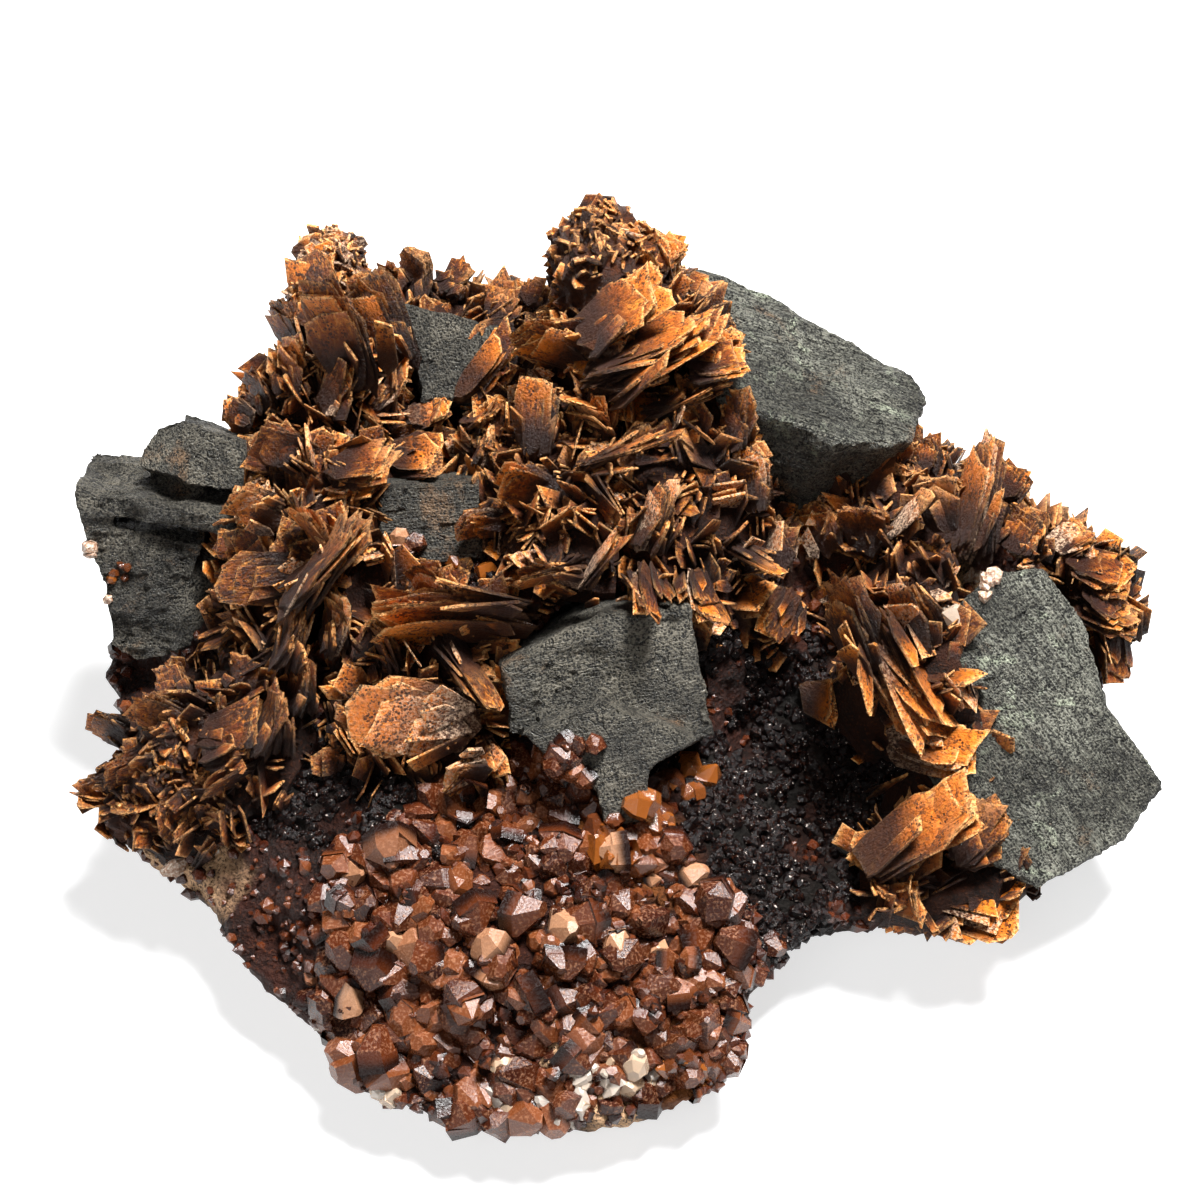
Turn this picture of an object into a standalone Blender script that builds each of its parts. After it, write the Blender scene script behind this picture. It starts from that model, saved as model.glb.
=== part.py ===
"""Barite on galena: books of rusty barite blades on grey galena crystals, grown on a
lump of quartz whose front slope is covered with iron-stained quartz points.

Metres, +Z up. X runs to the right of the specimen as it is photographed and Y to its
back. The origin is on the flat patch under the lump that it rests on.
"""

import math
import random
from collections import namedtuple

import bmesh
import bpy
from mathutils import Matrix, Vector, noise
from mathutils.bvhtree import BVHTree

# Driving dimensions, in metres
MM = 0.001
SPAN = 0.162  # what the photograph's width takes in, at the middle of the specimen
GAP = 0.3 * MM  # between two pieces that touch
SWELL = 0.5 * MM  # how far a cutter's corners stand out, to leave that gap at its faces
NUDGES = [Vector(step) * 0.02 * MM for step in ((0, 0, 0), (1, 2, -1), (-2, 1, 1), (1, -1, 3))]
SAME_VOLUME = 0.5 * MM**3
FLAT_ANGLE = math.radians(0.3)
REST_SHARE = 0.66  # the flat patch underneath, as a share of the lump's outline
BLADE_THICKNESS = 1.1 * MM
BLADE_SUNK = 0.25  # the share of its length that a blade goes on below its root
BLADE_LEAST = 0.5  # how much shorter a book's outer blades are than its middle ones
BLADES_IN_ONE = 3.8  # how many thin blades one of these thick ones stands for
POINT_RADIUS = (3.0 * MM, 3.9 * MM)  # quartz points on the front slope
POINT_TIP, POINT_ROOT = 1.2, 0.5  # their reach out of and into the slope, in radii
POINT_PITCH = 60  # pixels between them in the photograph
POINT_ROW = 0.87  # the distance between their rows, as a share of that
POINT_LEAN = 0.35  # how unevenly they point
BLADE_OUTLINE = [(0, 0.34), (0.62, 0.50), (1.0, 0.12), (0.80, -0.46), (0, -0.32)]
ROOT_COVER = 5.0  # how far a book's root is above the lump, in millimetres
CRUST_COVER = 4.5  # how thick the small blades lie on the lump, in millimetres
GALENA_EDGE = 0.7 * MM  # worn off the edges of the galena
HILL_REACH = 5.0 * MM  # how far one height of the lump is felt
FAR_SHARE = 0.3 * MM**2  # how much the heights far away count
HILL_ROUNDS = 4  # times that the hills are corrected, each time by a share of the miss
HILL_CORRECTION = 0.7
RIM_SHARE = 0.13  # the outer part of the lump that slopes down to its rim
ROUGHNESS = 1.0 * MM  # of the broken surface
SIDE_ROUGHNESS = 1.6 * MM
ROUGH_SCALE = 9 * MM
SEED = 11

# Rings of the lump's side: the share of the outline, and of the height below the rim
SIDE_RINGS = [(0.87, 0.72), (0.98, 0.35), (1, 0)]
TOP_RINGS = [0.93, 0.84, 0.73, 0.61, 0.48, 0.33, 0.16]
# Rings of a crust: the share of its outline, and of its cover
CRUST_RINGS = [(0.3, -0.6), (0.97, -0.6), (1, 0.2), (0.8, 0.8), (0.5, 1), (0.2, 1)]

# Where the photograph was taken from
PHOTO_PIXELS = 1200
VIEW_ELEVATION = math.radians(50)
VIEW_DISTANCE = 0.42
VIEW_TARGET = Vector((0, 0.015, 0.028))
VIEW_RIGHT = Vector((1, 0, 0))
VIEW_UP = Vector((0, math.sin(VIEW_ELEVATION), math.cos(VIEW_ELEVATION)))
VIEW_BACK = VIEW_RIGHT.cross(VIEW_UP)  # from the specimen towards the camera

# The lump's outline from above, anticlockwise from the front, as x, y and the height
# of its rim above the table, in millimetres
OUTLINE = [
    (0, -56, 9), (6, -53, 9), (15, -50, 10), (18, -44, 11), (20, -37, 12),
    (24, -31, 13), (28, -28, 15), (35, -27, 14), (46, -22, 12), (56, -16, 12),
    (62, -6, 14), (69, 6, 19), (72, 16, 23), (67, 27, 25), (57, 36, 25),
    (43, 44, 27), (28, 51, 29), (14, 57, 31), (0, 60, 32), (-14, 61, 32),
    (-28, 60, 32), (-40, 56, 31), (-51, 47, 28), (-60, 36, 25), (-66, 24, 20),
    (-67, 12, 16), (-65, 0, 15), (-64, -10, 16), (-61, -18, 16), (-53, -23, 14),
    (-46, -33, 12), (-37, -41, 11), (-30, -50, 10), (-22, -54, 9), (-11, -56, 9),
]  # fmt: skip

# Heights of the lump in millimetres, at pixels of the photograph
HEIGHTS = {
    (450, 1100): 11, (560, 1090): 13, (660, 1085): 11, (380, 1050): 13, (400, 1000): 17,
    (560, 1000): 19, (700, 1000): 16, (240, 930): 15, (320, 930): 20, (420, 930): 22,
    (560, 930): 23, (700, 930): 20, (770, 930): 15, (150, 830): 17, (220, 850): 19,
    (320, 850): 25, (420, 850): 27, (560, 850): 27, (700, 850): 24, (800, 850): 15,
    (300, 780): 25, (390, 780): 28, (480, 790): 27, (620, 800): 28, (700, 780): 25,
    (790, 770): 18, (850, 800): 15, (760, 690): 22, (850, 700): 20, (790, 620): 27,
    (130, 640): 20, (120, 540): 28, (200, 450): 38, (430, 520): 38, (450, 350): 46,
    (620, 680): 31, (780, 330): 46, (850, 400): 40, (900, 420): 34, (1020, 620): 24,
    (1080, 580): 22, (1050, 720): 15, (1080, 800): 10,
}  # fmt: skip

# Heights of the lump on its hidden back, in millimetres, at x and y
BACK_HEIGHTS = {
    (-54, 36): 34, (-44, 47): 41, (-34, 53): 42, (-22, 55): 42, (-10, 55): 42,
    (0, 54): 47, (10, 52): 50, (20, 48): 44, (32, 44): 36, (46, 36): 31,
    (57, 28): 28,
}  # fmt: skip

# The slope with quartz points, as pixels of the photograph
POINTS_OUTLINE = [
    (330, 880), (420, 830), (470, 780), (560, 745), (600, 800), (650, 830),
    (700, 820), (760, 880), (775, 950), (745, 1040), (640, 1100), (500, 1115),
    (380, 1095), (320, 1020), (350, 950),
]  # fmt: skip

# A galena block is a face seen in the photograph, carried back into the specimen.
# face: the outline's pixels. through: a pixel on the face and its height in mm.
# lean: the way the face points, as parts of right, up and towards the camera.
# depth: how far the block goes back, in mm. taper: the far end's share of the face.
Block = namedtuple("Block", "face through lean depth taper")
GALENA = {
    "galena_left": [
        Block([(70, 491), (100, 478), (136, 464), (155, 425), (200, 425), (250, 440),
               (246, 500), (234, 522), (200, 513), (150, 500)],
              (150, 500, 42), (-0.03, 0.66, 0.75), 9, 0.97),
        Block([(80, 520), (98, 548), (140, 550), (178, 563), (214, 550), (225, 500),
               (150, 470), (100, 490)],
              (150, 550, 36), (-0.06, 0.62, 0.78), 22, 0.74),
        Block([(156, 426), (182, 412), (232, 421), (252, 440), (246, 486), (185, 482),
               (163, 473)],
              (185, 482, 46), (0.03, 0.28, 0.96), 12, 0.95),
        Block([(100, 592), (150, 600), (186, 598), (192, 560), (104, 556)],
              (150, 597, 30), (-0.02, 0.64, 0.77), 15, 0.85),
    ],
    "galena_back_right": [
        Block([(690, 262), (770, 288), (860, 345), (908, 366), (930, 396), (915, 440),
               (838, 441), (740, 401), (712, 372), (676, 300)],
              (740, 401, 58), (0.375, 0.666, 0.643), 27, 0.86),
    ],
    "galena_right": [
        Block([(960, 602), (1000, 570), (1045, 566), (1092, 628), (1112, 706),
               (1168, 785), (1130, 838), (1040, 893), (960, 850), (915, 730)],
              (1040, 720, 27), (0.27, 0.10, 0.96), 19, 0.78),
    ],
    "galena_centre": [
        Block([(500, 668), (600, 613), (693, 606), (718, 738), (650, 764), (585, 762),
               (505, 738)],
              (620, 680, 39), (0.10, -0.22, 0.97), 18, 0.95),
        Block([(590, 764), (645, 760), (641, 822), (604, 824)],
              (618, 790, 32), (0.05, -0.18, 0.98), 15, 0.95),
    ],
    "galena_middle": [
        Block([(372, 486), (478, 480), (486, 562), (380, 572)],
              (430, 520, 45), (0.02, -0.20, 0.98), 17, 0.95),
    ],
    "galena_upper": [
        Block([(400, 300), (500, 322), (494, 398), (420, 404)],
              (450, 350, 54), (0.05, 0.20, 0.98), 15, 0.92),
    ],
}  # fmt: skip

# A book of barite is a stack of blades spreading from one root.
# seen: the root's pixel in the photograph. height: the root's, in mm.
# along: the way the blades grow in the picture, in degrees, 0 right and 90 up.
# rise: how far they come out of the picture, in degrees.
# facing: 0 shows their edges and 90 their flat sides.
# length, width and depth: of the whole book, in mm.
# blades: how many a close look counts. fan: the angle they spread over, in degrees.
Book = namedtuple(
    "Book", "seen height along rise facing length width depth blades fan"
)
BARITE = {
    "barite_left_crest": [
        Book((358, 372), 56, 112, 25, 50, 15, 10, 3, 6, 14),
        Book((394, 354), 54, 113, 20, 55, 13, 10, 3, 5, 12),
        Book((318, 322), 57, 96, 5, 60, 10, 9, 4, 6, 30),
        Book((340, 290), 58, 80, 0, 68, 7, 8, 3, 4, 26),
        Book((302, 345), 53, 125, 10, 25, 8, 8, 4, 6, 30),
        Book((300, 390), 51, 100, 15, 35, 8, 7, 4, 6, 25),
        Book((335, 405), 52, 70, 30, 45, 8, 7, 4, 6, 40),
        Book((272, 402), 47, 130, 0, 30, 6, 6, 4, 6, 40),
        Book((250, 415), 46, 165, 0, 60, 4, 6, 4, 5, 40),
        Book((385, 402), 50, 60, 30, 30, 7, 6, 4, 6, 50),
        Book((415, 420), 48, 20, 25, 50, 6, 6, 4, 5, 50),
    ],
    "barite_left_middle": [
        Book((300, 458), 49, 150, 25, 65, 8, 9, 4, 5, 25),
        Book((345, 472), 49, 5, 35, 45, 9, 9, 5, 6, 20),
        Book((400, 460), 46, 10, 20, 70, 7, 8, 3, 4, 30),
        Book((272, 512), 46, 165, 25, 50, 7, 7, 4, 5, 30),
        Book((335, 555), 45, 125, 20, 20, 9, 8, 4, 7, 25),
        Book((300, 600), 43, 52, 20, 25, 17, 9, 4, 6, 14),
        Book((292, 575), 41, 185, 20, 60, 11, 9, 3, 5, 16),
        Book((255, 550), 39, 170, 5, 75, 6, 6, 2, 3, 10),
        Book((285, 660), 37, 72, 10, 20, 10, 6, 4, 6, 16),
        Book((335, 645), 38, 85, 25, 35, 9, 7, 4, 6, 30),
    ],
    "barite_saddle": [
        Book((420, 294), 51, 95, 15, 45, 8, 7, 4, 6, 50),
        Book((402, 288), 51, 140, 5, 30, 5, 6, 3, 5, 40),
        Book((446, 288), 51, 50, 10, 50, 5, 6, 3, 5, 40),
        Book((500, 316), 52, 80, 10, 60, 5, 7, 4, 5, 50),
        Book((532, 303), 54, 70, 5, 70, 4, 5, 3, 4, 40),
        Book((505, 332), 53, 200, 25, 60, 7, 6, 3, 4, 40),
    ],
    "barite_crown": [
        Book((610, 272), 65, 95, 5, 40, 10.5, 9, 6, 8, 60),
        Book((588, 295), 63, 112, 0, 20, 8, 7, 5, 7, 30),
        Book((652, 268), 64, 50, 5, 50, 6, 7, 4, 6, 60),
        Book((596, 335), 62, 40, 25, 45, 13, 12, 5, 7, 20),
        Book((612, 378), 60, 29, 12, 25, 18, 12, 6, 9, 14),
        Book((700, 372), 60, 18, 10, 35, 7, 10, 6, 8, 50),
        Book((575, 348), 59, 165, 25, 35, 9, 9, 5, 7, 25),
    ],
    "barite_centre": [
        Book((470, 388), 52, 48, 15, 60, 12, 6, 3, 4, 10),
        Book((475, 425), 49, 40, 30, 10, 6, 5, 4, 7, 60),
        Book((535, 445), 52, 85, 15, 60, 10, 7, 3, 4, 12),
        Book((596, 462), 55, 19, 12, 20, 13, 4, 2, 2, 4),
        Book((548, 492), 49, 160, 30, 55, 8, 8, 4, 5, 40),
        Book((495, 520), 45, 190, 20, 40, 6, 6, 4, 6, 40),
        Book((485, 462), 48, 80, 10, 10, 6, 3, 4, 4, 40),
        Book((575, 572), 48, 185, 20, 15, 9, 6, 5, 8, 60),
        Book((588, 580), 49, 55, 25, 20, 9, 6, 2, 3, 16),
    ],
    "barite_centre_right": [
        Book((600, 435), 54, 100, 45, 40, 7, 6, 5, 8, 90),
        Book((655, 412), 56, 18, 20, 15, 11, 6, 3, 4, 16),
        Book((735, 440), 52, 85, 25, 50, 8, 7, 4, 6, 30),
        Book((752, 500), 46, 95, 20, 55, 8, 7, 4, 5, 30),
        Book((650, 540), 49, 68, 25, 25, 9, 7, 5, 8, 18),
        Book((640, 575), 48, 285, 35, 40, 8, 5, 4, 5, 30),
        Book((692, 585), 44, 300, 30, 40, 7, 6, 5, 6, 50),
        Book((740, 552), 43, 335, 20, 20, 8, 5, 2, 3, 14),
        Book((788, 600), 35, 245, 20, 55, 8, 7, 2, 3, 12),
    ],
    "barite_front_fan": [
        Book((505, 618), 43, 178, 12, 30, 19, 12, 5, 7, 12),
        Book((450, 648), 41, 308, 20, 25, 11, 7, 3, 5, 14),
        Book((455, 722), 35, 175, 25, 65, 15, 12, 4, 6, 14),
        Book((440, 600), 42, 110, 25, 40, 6, 7, 4, 6, 40),
        Book((508, 712), 33, 100, 20, 60, 7, 6, 3, 4, 30),
        Book((478, 768), 31, 200, 30, 40, 6, 6, 4, 6, 50),
        Book((398, 660), 39, 120, 30, 20, 7, 6, 4, 6, 40),
    ],
    "barite_lower_left": [
        Book((218, 742), 28, 30, 30, 55, 9, 10, 5, 8, 40),
        Book((190, 722), 28, 160, 20, 50, 9, 9, 5, 8, 40),
        Book((150, 765), 23, 200, 20, 40, 7, 8, 6, 9, 60),
        Book((185, 800), 21, 240, 20, 40, 6, 8, 5, 8, 60),
        Book((268, 745), 30, 75, 20, 30, 9, 7, 5, 7, 30),
        Book((246, 770), 27, 205, 30, 20, 8, 6, 2, 3, 12),
        Book((180, 695), 27, 120, 10, 60, 5, 6, 4, 5, 40),
        Book((245, 685), 31, 90, 20, 60, 5, 6, 3, 4, 40),
        Book((302, 705), 32, 85, 20, 30, 8, 6, 4, 6, 30),
        Book((122, 730), 22, 165, 10, 40, 5, 6, 4, 6, 50),
        Book((112, 785), 19, 195, 5, 50, 5, 6, 4, 6, 50),
    ],
    "barite_right_tips": [
        Book((880, 462), 43, 95, 15, 55, 6, 8, 4, 5, 40),
        Book((842, 482), 42, 145, 15, 45, 6, 6, 4, 5, 40),
        Book((940, 522), 40, 95, 30, 70, 8, 8, 3, 3, 16),
        Book((975, 540), 37, 83, 5, 25, 16, 9, 6, 8, 22),
        Book((932, 468), 41, 95, 0, 40, 5, 5, 3, 4, 30),
        Book((1003, 492), 38, 62, 0, 60, 5, 7, 3, 4, 40),
        Book((872, 542), 38, 110, 30, 60, 7, 8, 4, 4, 40),
        Book((898, 528), 41, 50, 30, 40, 8, 5, 2, 2, 10),
        Book((832, 542), 36, 120, 15, 55, 7, 7, 4, 5, 40),
        Book((1020, 548), 34, 72, 15, 45, 6, 8, 5, 7, 50),
    ],
    "barite_right_stack": [
        Book((878, 640), 36, 298, 12, 28, 17, 12, 8, 9, 18),
        Book((872, 655), 36, 118, 15, 28, 13, 10, 7, 8, 20),
        Book((925, 640), 36, 120, 15, 35, 9, 8, 5, 6, 24),
        Book((905, 740), 28, 352, 15, 60, 11, 9, 3, 4, 10),
    ],
    "barite_right_rosette": [
        Book((885, 858), 18, 38, 25, 50, 17, 11, 5, 5, 14),
        Book((965, 850), 18, 55, 20, 55, 9, 9, 5, 5, 30),
        Book((945, 898), 12, 352, 10, 55, 11, 12, 6, 7, 20),
        Book((930, 902), 12, 190, 10, 50, 8, 11, 5, 6, 20),
    ],
    "barite_far_right": [
        Book((1078, 572), 29, 350, 15, 45, 8, 9, 6, 8, 40),
        Book((1088, 604), 27, 338, 15, 40, 8, 9, 6, 8, 40),
        Book((1112, 642), 23, 275, 10, 65, 7, 6, 3, 3, 14),
        Book((1062, 550), 31, 40, 10, 45, 5, 8, 5, 6, 40),
    ],
}  # fmt: skip

# How far each cluster covers the lump, from above, as x and y in millimetres
CRUSTS = {
    "barite_left_crest": [(-47, 36), (-45, 45), (-39, 51), (-31, 51), (-27, 45), (-27, 36),
                          (-29, 29), (-37, 27), (-45, 30)],
    "barite_left_middle": [(-50, 20), (-48, 29), (-38, 26), (-29, 28), (-20, 28), (-23, 21),
                           (-29, 18), (-29, 12), (-23, 8), (-32, 4), (-42, 3), (-50, 9)],
    "barite_saddle": [(-29, 46), (-29, 54), (-18, 56), (-8, 53), (-5, 45), (-9, 37),
                      (-15, 38), (-18, 45)],
    "barite_crown": [(-8, 42), (-6, 50), (2, 53), (11, 51), (15, 45), (19, 38), (16, 31),
                     (6, 28), (-4, 30), (-10, 35)],
    "barite_centre": [(-21, 27), (-14, 35), (-8, 34), (-4, 28), (3, 26), (3, 14), (2, 4),
                      (-6, 3), (-12, 7), (-15, 15)],
    "barite_centre_right": [(4, 26), (14, 29), (22, 28), (27, 18), (24, 10), (17, 3), (8, 2),
                            (4, 8)],
    "barite_front_fan": [(-35, -3), (-32, 3), (-23, 7), (-14, 8), (-11, 2), (-10, -5),
                         (-13, -13), (-21, -16), (-30, -14), (-36, -9)],
    "barite_lower_left": [(-67, -6), (-63, 3), (-54, 7), (-45, 4), (-37, 0), (-37, -8),
                          (-41, -15), (-49, -18), (-57, -19), (-64, -14)],
    "barite_right_tips": [(28, 24), (31, 33), (38, 38), (47, 36), (55, 33), (59, 27),
                          (52, 22), (44, 19), (36, 18), (29, 18)],
    "barite_right_stack": [(29, 9), (31, 16), (38, 17), (46, 17), (49, 8), (48, -1), (51, -7),
                           (43, -9), (35, -7), (29, 0)],
    "barite_right_rosette": [(34, -16), (38, -10), (46, -9), (53, -9), (57, -14), (57, -20),
                             (52, -25), (43, -27), (34, -26)],
    "barite_far_right": [(56, 26), (60, 31), (68, 29), (73, 22), (73, 14), (68, 10), (63, 17)],
}  # fmt: skip

# Colours and finishes: colour, roughness and metallic value
FINISHES = {
    "quartz": ((0.30, 0.13, 0.07), 0.35, 0.0),
    "galena": ((0.17, 0.17, 0.16), 0.55, 0.4),
    "barite": ((0.55, 0.27, 0.10), 0.6, 0.0),
}


def seen(pixel, height):
    """The point at a height above the table, in metres, that the photograph shows at a pixel."""
    across = (pixel[0] / PHOTO_PIXELS - 0.5) * SPAN
    up = (0.5 - pixel[1] / PHOTO_PIXELS) * SPAN
    camera = VIEW_TARGET + VIEW_BACK * VIEW_DISTANCE
    ray = VIEW_TARGET + VIEW_RIGHT * across + VIEW_UP * up - camera
    return camera + ray * ((height - camera.z) / ray.z)


def seen_on_plane(pixel, point, normal):
    """Where the photograph's line of sight through a pixel meets a plane."""
    camera = VIEW_TARGET + VIEW_BACK * VIEW_DISTANCE
    ray = seen(pixel, 0) - camera
    return camera + ray * ((point - camera).dot(normal) / ray.dot(normal))


def in_view(right, up, back):
    """A direction given by its parts along the picture and out of it."""
    return (VIEW_RIGHT * right + VIEW_UP * up + VIEW_BACK * back).normalized()


def material_of(name):
    colour, roughness, metallic = FINISHES[name]
    material = bpy.data.materials.new(name)
    material.use_nodes = True
    shader = material.node_tree.nodes["Principled BSDF"]
    shader.inputs["Base Color"].default_value = (*colour, 1)
    shader.inputs["Roughness"].default_value = roughness
    shader.inputs["Metallic"].default_value = metallic
    return material


def object_from(bm, name, collection):
    """An object that holds a bmesh, with its faces pointing out."""
    bmesh.ops.triangulate(bm, faces=bm.faces)
    bmesh.ops.recalc_face_normals(bm, faces=bm.faces)
    if bm.calc_volume(signed=True) < 0:
        bmesh.ops.reverse_faces(bm, faces=bm.faces)
    mesh = bpy.data.meshes.new(name)
    bm.to_mesh(mesh)
    bm.free()
    made = bpy.data.objects.new(name, mesh)
    collection.objects.link(made)
    return made


def lofted(rings, name, collection):
    """A solid through rings with the same number of points, flat at its two ends."""
    bm = bmesh.new()
    loops = [[bm.verts.new(p) for p in ring] for ring in rings]
    for inner, outer in zip(loops, loops[1:]):
        for i, vertex in enumerate(inner):
            after = (i + 1) % len(inner)
            bm.faces.new((vertex, outer[i], outer[after], inner[after]))
    bm.faces.new(loops[0])
    bm.faces.new(loops[-1])
    return object_from(bm, name, collection)


def volume(mesh):
    """A closed mesh's volume, or zero for one that is open anywhere."""
    bm = bmesh.new()
    bm.from_mesh(mesh)
    closed = all(edge.is_manifold for edge in bm.edges)
    result = bm.calc_volume(signed=True) if closed else 0
    bm.free()
    return result


def boolean_result(target, other, operation, solver):
    modifier = target.modifiers.new(other.name, "BOOLEAN")
    modifier.operation = operation
    modifier.object = other
    modifier.solver = solver
    graph = bpy.context.evaluated_depsgraph_get()
    result = bpy.data.meshes.new_from_object(target.evaluated_get(graph))
    target.modifiers.clear()
    return result


def boolean(target, other, operation):
    """Joins another object to the target, or cuts it from it.

    A result counts when two ways of working it out agree on its volume. Where surfaces
    only just touch they may not, and the other object is moved by a hair. Where they never
    agree, the second way's result is taken.
    """
    for nudge in NUDGES:
        other.location = nudge
        bpy.context.view_layer.update()
        exact = boolean_result(target, other, operation, "EXACT")
        check = boolean_result(target, other, operation, "MANIFOLD")
        exact_volume, check_volume = volume(exact), volume(check)
        if exact_volume > 0 and abs(exact_volume - check_volume) < SAME_VOLUME:
            target.data = exact
            break
    else:
        target.data = check
    other.location = (0, 0, 0)


def keep_largest_piece(made):
    """Drops the crumbs that a cut has left loose from a piece."""
    bm = bmesh.new()
    bm.from_mesh(made.data)
    bm.verts.ensure_lookup_table()
    piece_of = [None] * len(bm.verts)
    pieces = []
    for start in bm.verts:
        if piece_of[start.index] is not None:
            continue
        piece = [start]
        piece_of[start.index] = len(pieces)
        for vertex in piece:
            for edge in vertex.link_edges:
                other = edge.other_vert(vertex)
                if piece_of[other.index] is None:
                    piece_of[other.index] = len(pieces)
                    piece.append(other)
        pieces.append(piece)
    largest = max(pieces, key=lambda piece: extent([v.co for v in piece]))
    crumbs = [v for piece in pieces if piece is not largest for v in piece]
    bmesh.ops.delete(bm, geom=crumbs, context="VERTS")
    bm.to_mesh(made.data)
    bm.free()


def extent(points):
    """How far some points spread, from corner to corner of their box."""
    lows = [min(p[axis] for p in points) for axis in range(3)]
    highs = [max(p[axis] for p in points) for axis in range(3)]
    return (Vector(highs) - Vector(lows)).length


def join_flat_faces(made):
    """Joins the triangles that lie in one plane, so that a piece has no more than it needs."""
    bm = bmesh.new()
    bm.from_mesh(made.data)
    bmesh.ops.dissolve_limit(bm, angle_limit=FLAT_ANGLE, verts=bm.verts, edges=bm.edges)
    bmesh.ops.triangulate(bm, faces=bm.faces)
    bm.to_mesh(made.data)
    bm.free()


def swollen(source, collection):
    """A slightly larger copy of an object, for cutting room for it."""
    copy = source.copy()
    copy.data = source.data.copy()
    copy.name = source.name + "_room"
    collection.objects.link(copy)
    bm = bmesh.new()
    bm.from_mesh(copy.data)
    bm.normal_update()
    moved = [v.co + v.normal * SWELL for v in bm.verts]
    for vertex, place in zip(bm.verts, moved):
        vertex.co = place
    bm.to_mesh(copy.data)
    bm.free()
    return copy


def boxes_meet(a, b):
    """Whether the boxes round two objects, which have no transform, overlap."""
    for axis in range(3):
        a_side = [corner[axis] for corner in a.bound_box]
        b_side = [corner[axis] for corner in b.bound_box]
        if max(a_side) < min(b_side) or max(b_side) < min(a_side):
            return False
    return True


def book_root(book):
    return seen(book.seen, book.height * MM)


def smooth_mean(hills, x, y):
    """A mean of hills' heights in which the near ones count most."""
    total = weight = 0
    for place, height in hills:
        away = (place.x - x) ** 2 + (place.y - y) ** 2
        share = math.exp(-away / (2 * HILL_REACH**2)) + FAR_SHARE / (away + HILL_REACH**2)
        total += share * height
        weight += share
    return total / weight


def fitted_hills():
    """Hills whose smooth mean passes through the heights listed, and under every book."""
    known = [(seen(pixel, z * MM), z * MM) for pixel, z in HEIGHTS.items()]
    known.extend((Vector((x, y, z)) * MM, z * MM) for (x, y), z in BACK_HEIGHTS.items())
    for books in BARITE.values():
        for book in books:
            root = book_root(book)
            known.append((root, root.z - ROOT_COVER * MM))
    hills = known
    for _ in range(HILL_ROUNDS):
        misses = [height - smooth_mean(hills, place.x, place.y) for place, height in known]
        hills = [
            (place, height + HILL_CORRECTION * miss)
            for (place, height), miss in zip(hills, misses)
        ]
    return hills


HILLS = fitted_hills()
RIM = [Vector((x, y, z)) * MM for x, y, z in OUTLINE]


def rim_beyond(x, y):
    """The point of the lump's rim on the line from its middle through a place."""
    for start, end in zip(RIM, RIM[1:] + RIM[:1]):
        first = start.x * y - start.y * x
        second = x * end.y - y * end.x
        if first >= 0 and second >= 0:
            return start.lerp(end, first / (first + second))
    return RIM[0]


def lump_height(x, y):
    """The height of the lump's top at a place, which comes down to the rim at its edge."""
    rim = rim_beyond(x, y)
    share = math.hypot(x, y) / math.hypot(rim.x, rim.y)
    inland = min(1, max(0, (1 - share) / RIM_SHARE))
    inland = inland * inland * (3 - 2 * inland)
    return rim.z + (smooth_mean(HILLS, x, y) - rim.z) * inland


def roughened(point, amount=ROUGHNESS):
    return point + noise.noise_vector(point / ROUGH_SCALE) * amount


def lump(collection):
    """The quartz lump: a flat patch to rest on, an undercut side and an uneven top."""
    rings = []
    for share in (0.2, REST_SHARE):
        rings.append([Vector((p.x * share, p.y * share, 0)) for p in RIM])
    for share, drop in SIDE_RINGS:
        ring = [Vector((p.x * share, p.y * share, p.z * (1 - drop))) for p in RIM]
        rings.append([roughened(p, SIDE_ROUGHNESS) for p in ring])
    for share in TOP_RINGS:
        ring = []
        for p in RIM:
            x, y = p.x * share, p.y * share
            ring.append(roughened(Vector((x, y, lump_height(x, y)))))
        rings.append(ring)
    return lofted(rings, "quartz_matrix", collection)


def crust(name, collection):
    """The tight mass of small blades between a cluster's books, as one low mound."""
    outline = [Vector((x, y, 0)) * MM for x, y in CRUSTS[name]]
    centre = sum(outline, Vector()) / len(outline)
    rings = []
    for share, cover in CRUST_RINGS:
        ring = []
        for corner in outline:
            p = centre.lerp(corner, share)
            p.z = lump_height(p.x, p.y) + cover * CRUST_COVER * MM
            ring.append(roughened(p))
        rings.append(ring)
    return lofted(rings, name + "_crust", collection)


def inside(pixel, outline):
    """Whether a pixel is inside a closed outline of pixels."""
    within = False
    for (x0, y0), (x1, y1) in zip(outline, outline[1:] + outline[:1]):
        if (y0 > pixel[1]) != (y1 > pixel[1]):
            if pixel[0] < x0 + (pixel[1] - y0) * (x1 - x0) / (y1 - y0):
                within = not within
    return within


def on_lump(pixel, surface):
    """The place on the lump that the photograph shows at a pixel, and its normal."""
    camera = VIEW_TARGET + VIEW_BACK * VIEW_DISTANCE
    place, normal, _, _ = surface.ray_cast(camera, seen(pixel, 0) - camera)
    return place, normal


def quartz_point(place, axis, radius, turn, name, collection):
    """The six-sided tip of a quartz crystal, its root sunk in what it grows from."""
    bm = bmesh.new()
    height = (POINT_TIP + POINT_ROOT) * radius
    upright = Matrix.Translation((0, 0, height / 2 - POINT_ROOT * radius))
    aim = axis.to_track_quat("Z", "Y").to_matrix().to_4x4() @ Matrix.Rotation(turn, 4, "Z")
    bmesh.ops.create_cone(
        bm,
        cap_ends=True,
        segments=6,
        radius1=radius,
        radius2=0,
        depth=height,
        matrix=Matrix.Translation(place) @ aim @ upright,
    )
    return object_from(bm, name, collection)


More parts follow.
